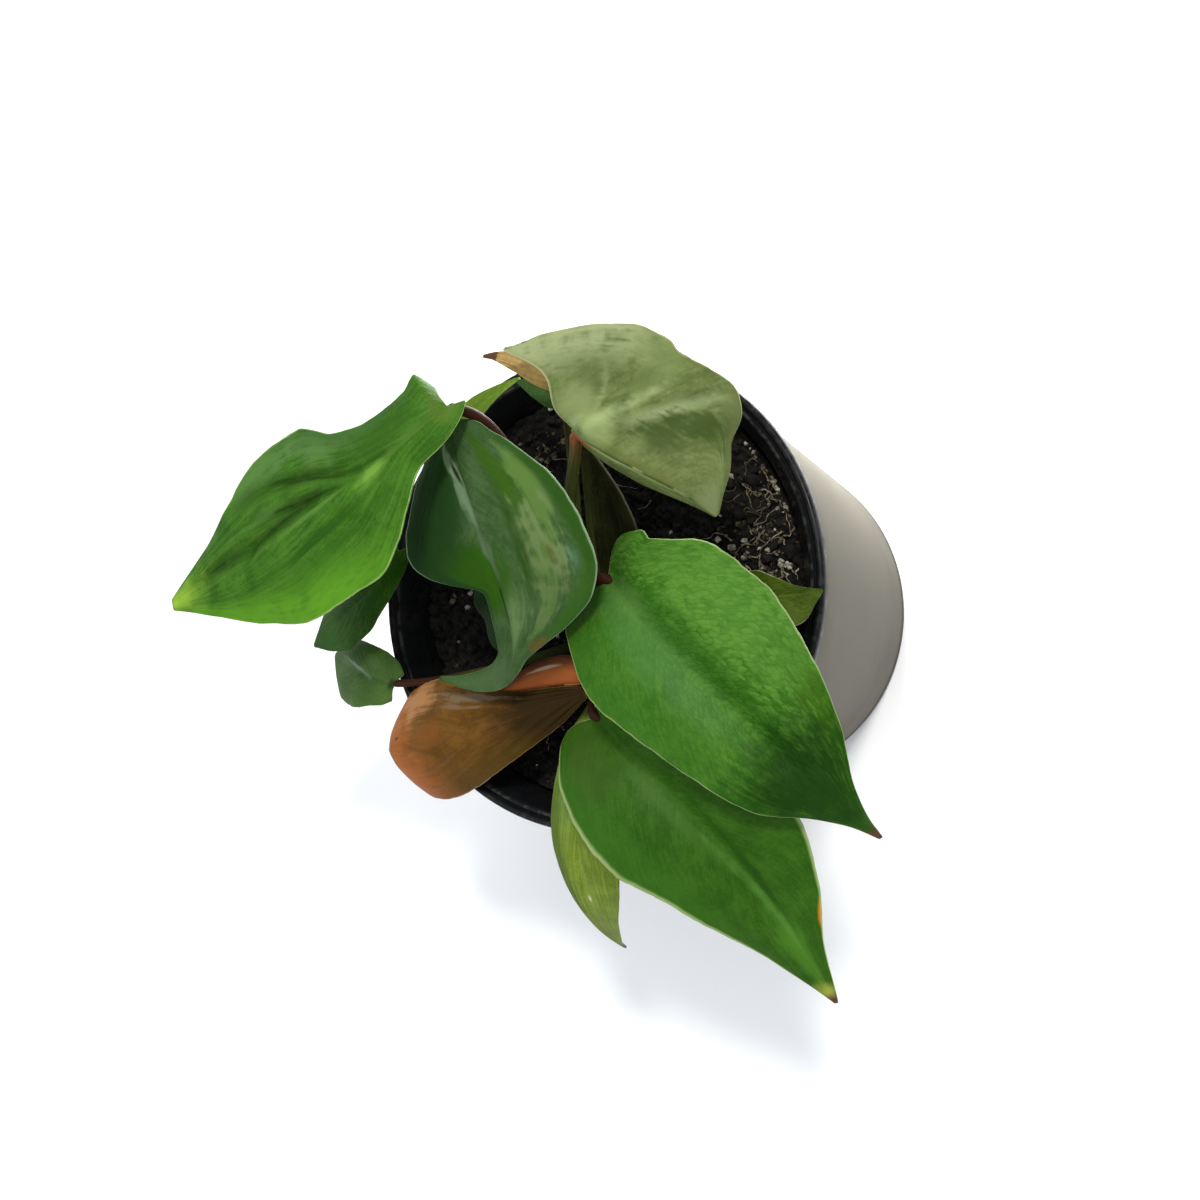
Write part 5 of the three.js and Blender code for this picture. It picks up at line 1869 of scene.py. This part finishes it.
@dataclass
class Soil:
    """Black peat with white grains, bits of bark and dry fibres, around the stem."""

    level: float = 91.0
    relief: float = 1.1
    foot: float = 4.8
    pot_foot: float = 3.3
    base_radius: float = 40.5
    slope: float = 11.9 / 95.4
    margin: float = 1.6
    bank: float = 2.2  # how high the soil is banked up at the pot's wall
    fibre_patch: tuple[Span, Span] = ((31, 46), (-4, 28))  # x and y where most fibres lie
    fibre_reach: float = 44.0
    fibre_length: Span = (2, 9)
    fibre_radius: Span = (0.08, 0.18)
    fibre_curl: float = 0.28
    fibre_rise: Span = (0.1, 1.6)
    peat: GrainFinish = GrainFinish("peat", (0.002, 0.0018, 0.0016), (0.013, 0.0115, 0.0095), 620.0)
    fibre: GrainFinish = GrainFinish(
        "dry_fibre", (0.08, 0.06, 0.035), (0.34, 0.29, 0.2), 500.0, 0.8, 0.3
    )
    bits: tuple[Bits, ...] = (
        Bits("peat_crumbs", peat, seed=11, count=1000, sizes=(0.35, 1.9), flat=0.7, sink=0.1),
        Bits(
            "perlite_grains",
            GrainFinish("perlite", (0.16, 0.15, 0.12), (0.52, 0.5, 0.4), 1500.0, 0.8),
            seed=23, count=110, sizes=(0.3, 1.05), flat=0.8, sink=0.1, detail=2,
            spots=(
                (45, 22, 6), (40, 34, 5), (46, 4, 5), (38, 8, 8), (30, 22, 9), (-4, 40, 6),
                (-20, -6, 10),
            ),
        ),
        Bits(
            "bark_chips",
            GrainFinish("bark_bits", (0.018, 0.014, 0.008), (0.15, 0.12, 0.07), 900.0),
            seed=37, count=620, sizes=(0.15, 0.95), flat=0.5, sink=0.15,
            spots=(
                (41, 24, 5), (43, 12, 5), (40, 2, 6), (34, 14, 7), (-18, 34, 6), (-8, 38, 6),
                (-14, -32, 6),
            ),
        ),
    )

    def radius_at(self, height: float) -> float:
        """Radius of the soil at a height, a little inside the pot's wall."""
        return self.base_radius + self.slope * (height - self.pot_foot) - self.margin

    def top(self, points: np.ndarray) -> np.ndarray:
        """Height of the soil's surface at each (x, y), in millimetres."""
        x, y = points[:, 0], points[:, 1]
        slow = np.sin(0.11 * x + 1.3) * np.cos(0.13 * y - 0.4)
        quick = np.sin(0.37 * x - 0.6 * y) * np.cos(0.41 * y + 0.29 * x + 1)
        out = np.hypot(x, y) / self.radius_at(self.level)
        return (
            self.level
            + self.relief * (0.6 * slow + 0.4 * quick)
            + 0.9 * lumpy(points, 5)
            + self.bank * np.clip(out * 5 - 4, 0, 1) ** 2
        )

    def build_bed(self) -> bpy.types.Object:
        """Makes the body of the soil: an uneven top on a tapered plug."""
        edge = self.radius_at(self.level - 2)

        def place(across: np.ndarray, along: np.ndarray) -> np.ndarray:
            """Turns the square grid into a disc with lumps."""
            y = 2 * along - 1
            x, y = across * np.sqrt(1 - y * y / 2), y * np.sqrt(1 - across * across / 2)
            disc = np.stack([x, y], axis=1) * edge
            return np.column_stack([disc, self.top(disc)])

        piece = shaped_grid("soil_bed", 210, 210, place)
        bpy.ops.object.mode_set(mode="EDIT")
        bpy.ops.mesh.select_mode(type="EDGE")
        bpy.ops.mesh.select_all(action="DESELECT")
        bpy.ops.mesh.select_non_manifold()
        share = self.radius_at(self.foot) / edge
        drop = (0, 0, (self.foot - self.level) * MM)
        bpy.ops.mesh.extrude_edges_move(TRANSFORM_OT_translate={"value": drop})
        bpy.ops.transform.resize(value=(share, share, 0), center_override=(0, 0, self.foot * MM))
        bpy.ops.mesh.edge_face_add()
        close_up()
        bpy.ops.object.shade_smooth_by_angle(angle=math.radians(50))
        return piece

    def scatter(self, bits: Bits) -> bpy.types.Object:
        """Strews one kind of bits over the soil.

        Args:
            bits: what they are like.

        Returns:
            All the bits as one piece.
        """
        luck = np.random.default_rng(bits.seed)
        reach = self.radius_at(self.level) - 1.5
        deselect()
        bpy.ops.mesh.primitive_ico_sphere_add(subdivisions=bits.detail, radius=1)
        pieces = [bpy.context.active_object]
        ball = corners(pieces[0])
        for _ in range(bits.count - 1):
            pieces.append(pieces[0].copy())
            pieces[-1].data = pieces[0].data.copy()
            bpy.context.collection.objects.link(pieces[-1])
        smallest, largest = bits.sizes
        for i, piece in enumerate(pieces):
            angle, away = luck.uniform(0, 2 * np.pi), reach * math.sqrt(luck.uniform(0, 1))
            spot = np.array([[away * math.cos(angle), away * math.sin(angle)]])
            if bits.spots and i % 3:
                x, y, wide = bits.spots[int(luck.integers(len(bits.spots)))]
                spot = np.array([[x, y]]) + luck.normal(0, wide / 2, (1, 2))
                spot = spot * min(1.0, reach / float(np.hypot(*spot[0])))
            size = smallest + (largest - smallest) * luck.uniform() ** bits.small_share
            jagged = ball * luck.uniform(*bits.jagged, (len(ball), 1))
            turn = np.linalg.qr(luck.normal(size=(3, 3)))[0]
            turn = turn * np.linalg.det(turn)
            stretched = (jagged * [luck.uniform(*bits.stretch), 1, bits.flat]) @ turn.T
            middle = [*spot[0], self.top(spot)[0] + size * (0.4 - bits.sink)]
            move_corners(piece, (stretched * size + middle) * MM)
        return join(bits.name, pieces)

    def strands(self, name: str, count: int, seed: int) -> bpy.types.Object:
        """Lays thin curled fibres on the soil.

        Args:
            name: the piece's name.
            count: how many fibres.
            seed: chooses their places and curls.

        Returns:
            All the fibres as one piece.
        """
        luck = np.random.default_rng(seed)
        steps = np.linspace(0, 1, 14)
        pieces = []
        for i in range(count):
            if i % 3:
                start = np.array([luck.uniform(*reach) for reach in self.fibre_patch])
            else:
                angle = luck.uniform(0, 2 * np.pi)
                away = self.fibre_reach * math.sqrt(luck.uniform())
                start = away * np.array([math.cos(angle), math.sin(angle)])
            heading = luck.uniform(0, 2 * np.pi)
            heading = heading + np.cumsum(luck.normal(0, self.fibre_curl, len(steps)))
            length = luck.uniform(*self.fibre_length)
            way = np.stack([np.cos(heading), np.sin(heading)], axis=1) * length / (len(steps) - 1)
            flat = start + np.cumsum(way, axis=0)
            inside = (self.radius_at(self.level) - 2) / np.hypot(*flat.T)
            flat = flat * np.minimum(1, inside)[:, None]
            lift = luck.uniform(*self.fibre_rise) * np.sin(np.pi * steps) + 0.4
            path = np.column_stack([flat, self.top(flat) + lift])
            radii = luck.uniform(*self.fibre_radius) * (1 - 0.6 * steps)
            pieces.append(tube(f"{name}_{i}", path, radii, 5))
        return join(name, pieces)

    def build(self) -> list[tuple[bpy.types.Object, GrainFinish]]:
        """Makes the soil's pieces, each with its finish."""
        return [
            (self.build_bed(), self.peat),
            *((self.scatter(bits), bits.finish) for bits in self.bits),
            (self.strands("dry_fibres", count=90, seed=41), self.fibre),
        ]

    def dress(self, made: list[tuple[bpy.types.Object, GrainFinish]]) -> None:
        """Gives each piece its finish, and lets the bed stand for the solid."""
        for i, (piece, finish) in enumerate(made):
            coat(piece, finish.material())
            hand_over(piece, "soil", *(["soil"] if i == 0 else []))


@dataclass
class Stem:
    """The short stem, with the scars of old leaves, and all the stalks grown out of it."""

    centre: Span = (2.0, -10.0)
    radius: float = 4.5
    foot: float = 66.0
    top: float = 101.0
    ring_height: float = 0.25
    ring_spacing: float = 4.2
    taper: float = 0.2
    sway: float = 0.4

    def build(self, leaves: Sequence[Leaf]) -> bpy.types.Object:
        """Makes the stem's rings and joins the stalks to it.

        Args:
            leaves: the leaves whose stalks grow here.

        Returns:
            The stem with its stalks.
        """
        heights = np.linspace(self.foot, self.top, 36)
        share = (heights - self.foot) / (self.top - self.foot)
        turn = 2 * np.pi * heights / self.ring_spacing
        ring = self.ring_height * np.maximum(0, np.cos(turn)) ** 4
        radii = self.radius * (1 - self.taper * share) + ring
        radii = radii * np.clip(np.sqrt(1.02 - share**12), 0.2, 1)
        lean = self.sway * np.sin(heights * 0.5)
        path = np.column_stack([self.centre[0] + lean, self.centre[1] + 0 * lean, heights])
        pieces = [tube("stem_body", path, radii, 28)]
        pieces += [leaf.stalk_piece(self.centre) for leaf in leaves if leaf.stalk]
        return join("stem_and_stalks", pieces)

    def dress(self, piece: bpy.types.Object, finish: StalkFinish) -> None:
        """Gives the stem and stalks their finish."""
        coat(piece, finish.material("stalk_skin"))
        hand_over(piece, "stem", "stem")


@dataclass(frozen=True)
class Lamp:
    """A square soft light that looks at the pot: its way from there, its size and its light."""

    name: str
    way: Spot
    distance: float
    size: float
    power: float
    tint: Colour
    aim: float = 0.08  # height of the place it looks at, in metres

    def hang(self) -> bpy.types.Object:
        """Adds the light to the scene."""
        deselect()
        bpy.ops.object.light_add(type="AREA")
        light = bpy.context.active_object
        light.name = self.name
        light.data.size, light.data.energy, light.data.color = self.size, self.power, self.tint
        towards = unit(np.array(self.way, float))
        light.location = tuple(towards * self.distance + np.array([0, 0, self.aim]))
        x, y, z = -towards
        light.rotation_euler = (math.acos(-z), 0.0, math.atan2(y, x) - math.pi / 2)
        return light


@dataclass
class Studio:
    """Pale floor, soft light from the back right, a low card behind, and the camera above."""

    eye: Spot = (178.1, -34.6, 456.4)
    tilt: Spot = (4.594, 26.391, 0.0)
    lens: float = 51.0
    key: Lamp = Lamp("key_light", (0.37, 0.39, 1.0), 1.6, 0.22, 16.0, (1.0, 0.98, 0.94))
    fill: Lamp = Lamp("fill_light", (-0.7, -0.4, 1.0), 1.8, 1.2, 4.0, (0.9, 0.95, 1.0))
    card: Lamp = Lamp("low_card", (0.14, 0.985, 0.02), 0.152, 0.08, 0.7, (1.0, 0.98, 0.95))
    card_height: float = 0.035
    sky_low: Colour = (0.48, 0.5, 0.52)
    sky_high: Colour = (1.2, 1.24, 1.3)
    sky_strength: float = 0.88

    def build_floor(self) -> None:
        """Lays a wide pale floor."""
        deselect()
        bpy.ops.mesh.primitive_plane_add(size=6, location=(0, 0, -0.0002))
        floor = bpy.context.active_object
        floor.name = "floor"
        bpy.ops.object.transform_apply(location=True, rotation=True, scale=True)
        material, graph, shader = new_material("pale_floor")
        haze = graph.noise(graph.object_place(), 2.0, 2.0)
        colour = graph.blend(haze, (0.93, 0.93, 0.93), (0.95, 0.95, 0.95))
        graph.fill(shader, {"Base Color": colour, "Roughness": 0.9, "Specular IOR Level": 0.1})
        coat(floor, material)

    def build_sky(self) -> None:
        """Makes a sky that is brighter above than near the floor."""
        world = bpy.data.worlds.new("sky")
        bpy.context.scene.world = world
        world.use_nodes = True
        graph = Graph(world.node_tree)
        height = graph.split(graph.add("ShaderNodeTexCoord").outputs["Generated"])["Z"]
        colour = graph.blend(height, self.sky_low, self.sky_high)
        sky = world.node_tree.nodes["Background"]
        graph.fill(sky, {"Color": colour, "Strength": self.sky_strength})

    def build(self) -> None:
        """Places the floor, the lights, the sky and the camera."""
        self.build_floor()
        self.key.hang()
        self.fill.hang()
        card = self.card.hang()
        card.location.z = self.card_height
        card.visible_camera = False
        self.build_sky()
        bpy.context.scene.view_settings.view_transform = "Standard"
        deselect()
        eye, turn = [part * MM for part in self.eye], [math.radians(part) for part in self.tilt]
        bpy.ops.object.camera_add(location=eye, rotation=turn)
        camera = bpy.context.active_object
        camera.name = "camera"
        camera.data.lens, camera.data.sensor_width, camera.data.clip_start = self.lens, 36.0, 0.01
        bpy.context.scene.camera = camera


def main() -> None:
    """Builds and dresses the plant's parts in order."""
    logging.basicConfig(level=logging.INFO, format="%(message)s")
    Studio().build()
    leaf_skin_group()
    soft_patch_group()
    for part in (CoverPot(), NurseryPot(), Soil()):
        part.dress(part.build())
    stem = Stem()
    stem.dress(stem.build(LEAVES), StalkFinish())
    for leaf in LEAVES:
        finish = FINISHES[leaf.name]
        leaf.dress(leaf.build((finish.along, finish.across)), finish)


if __name__ == "__main__":
    main()
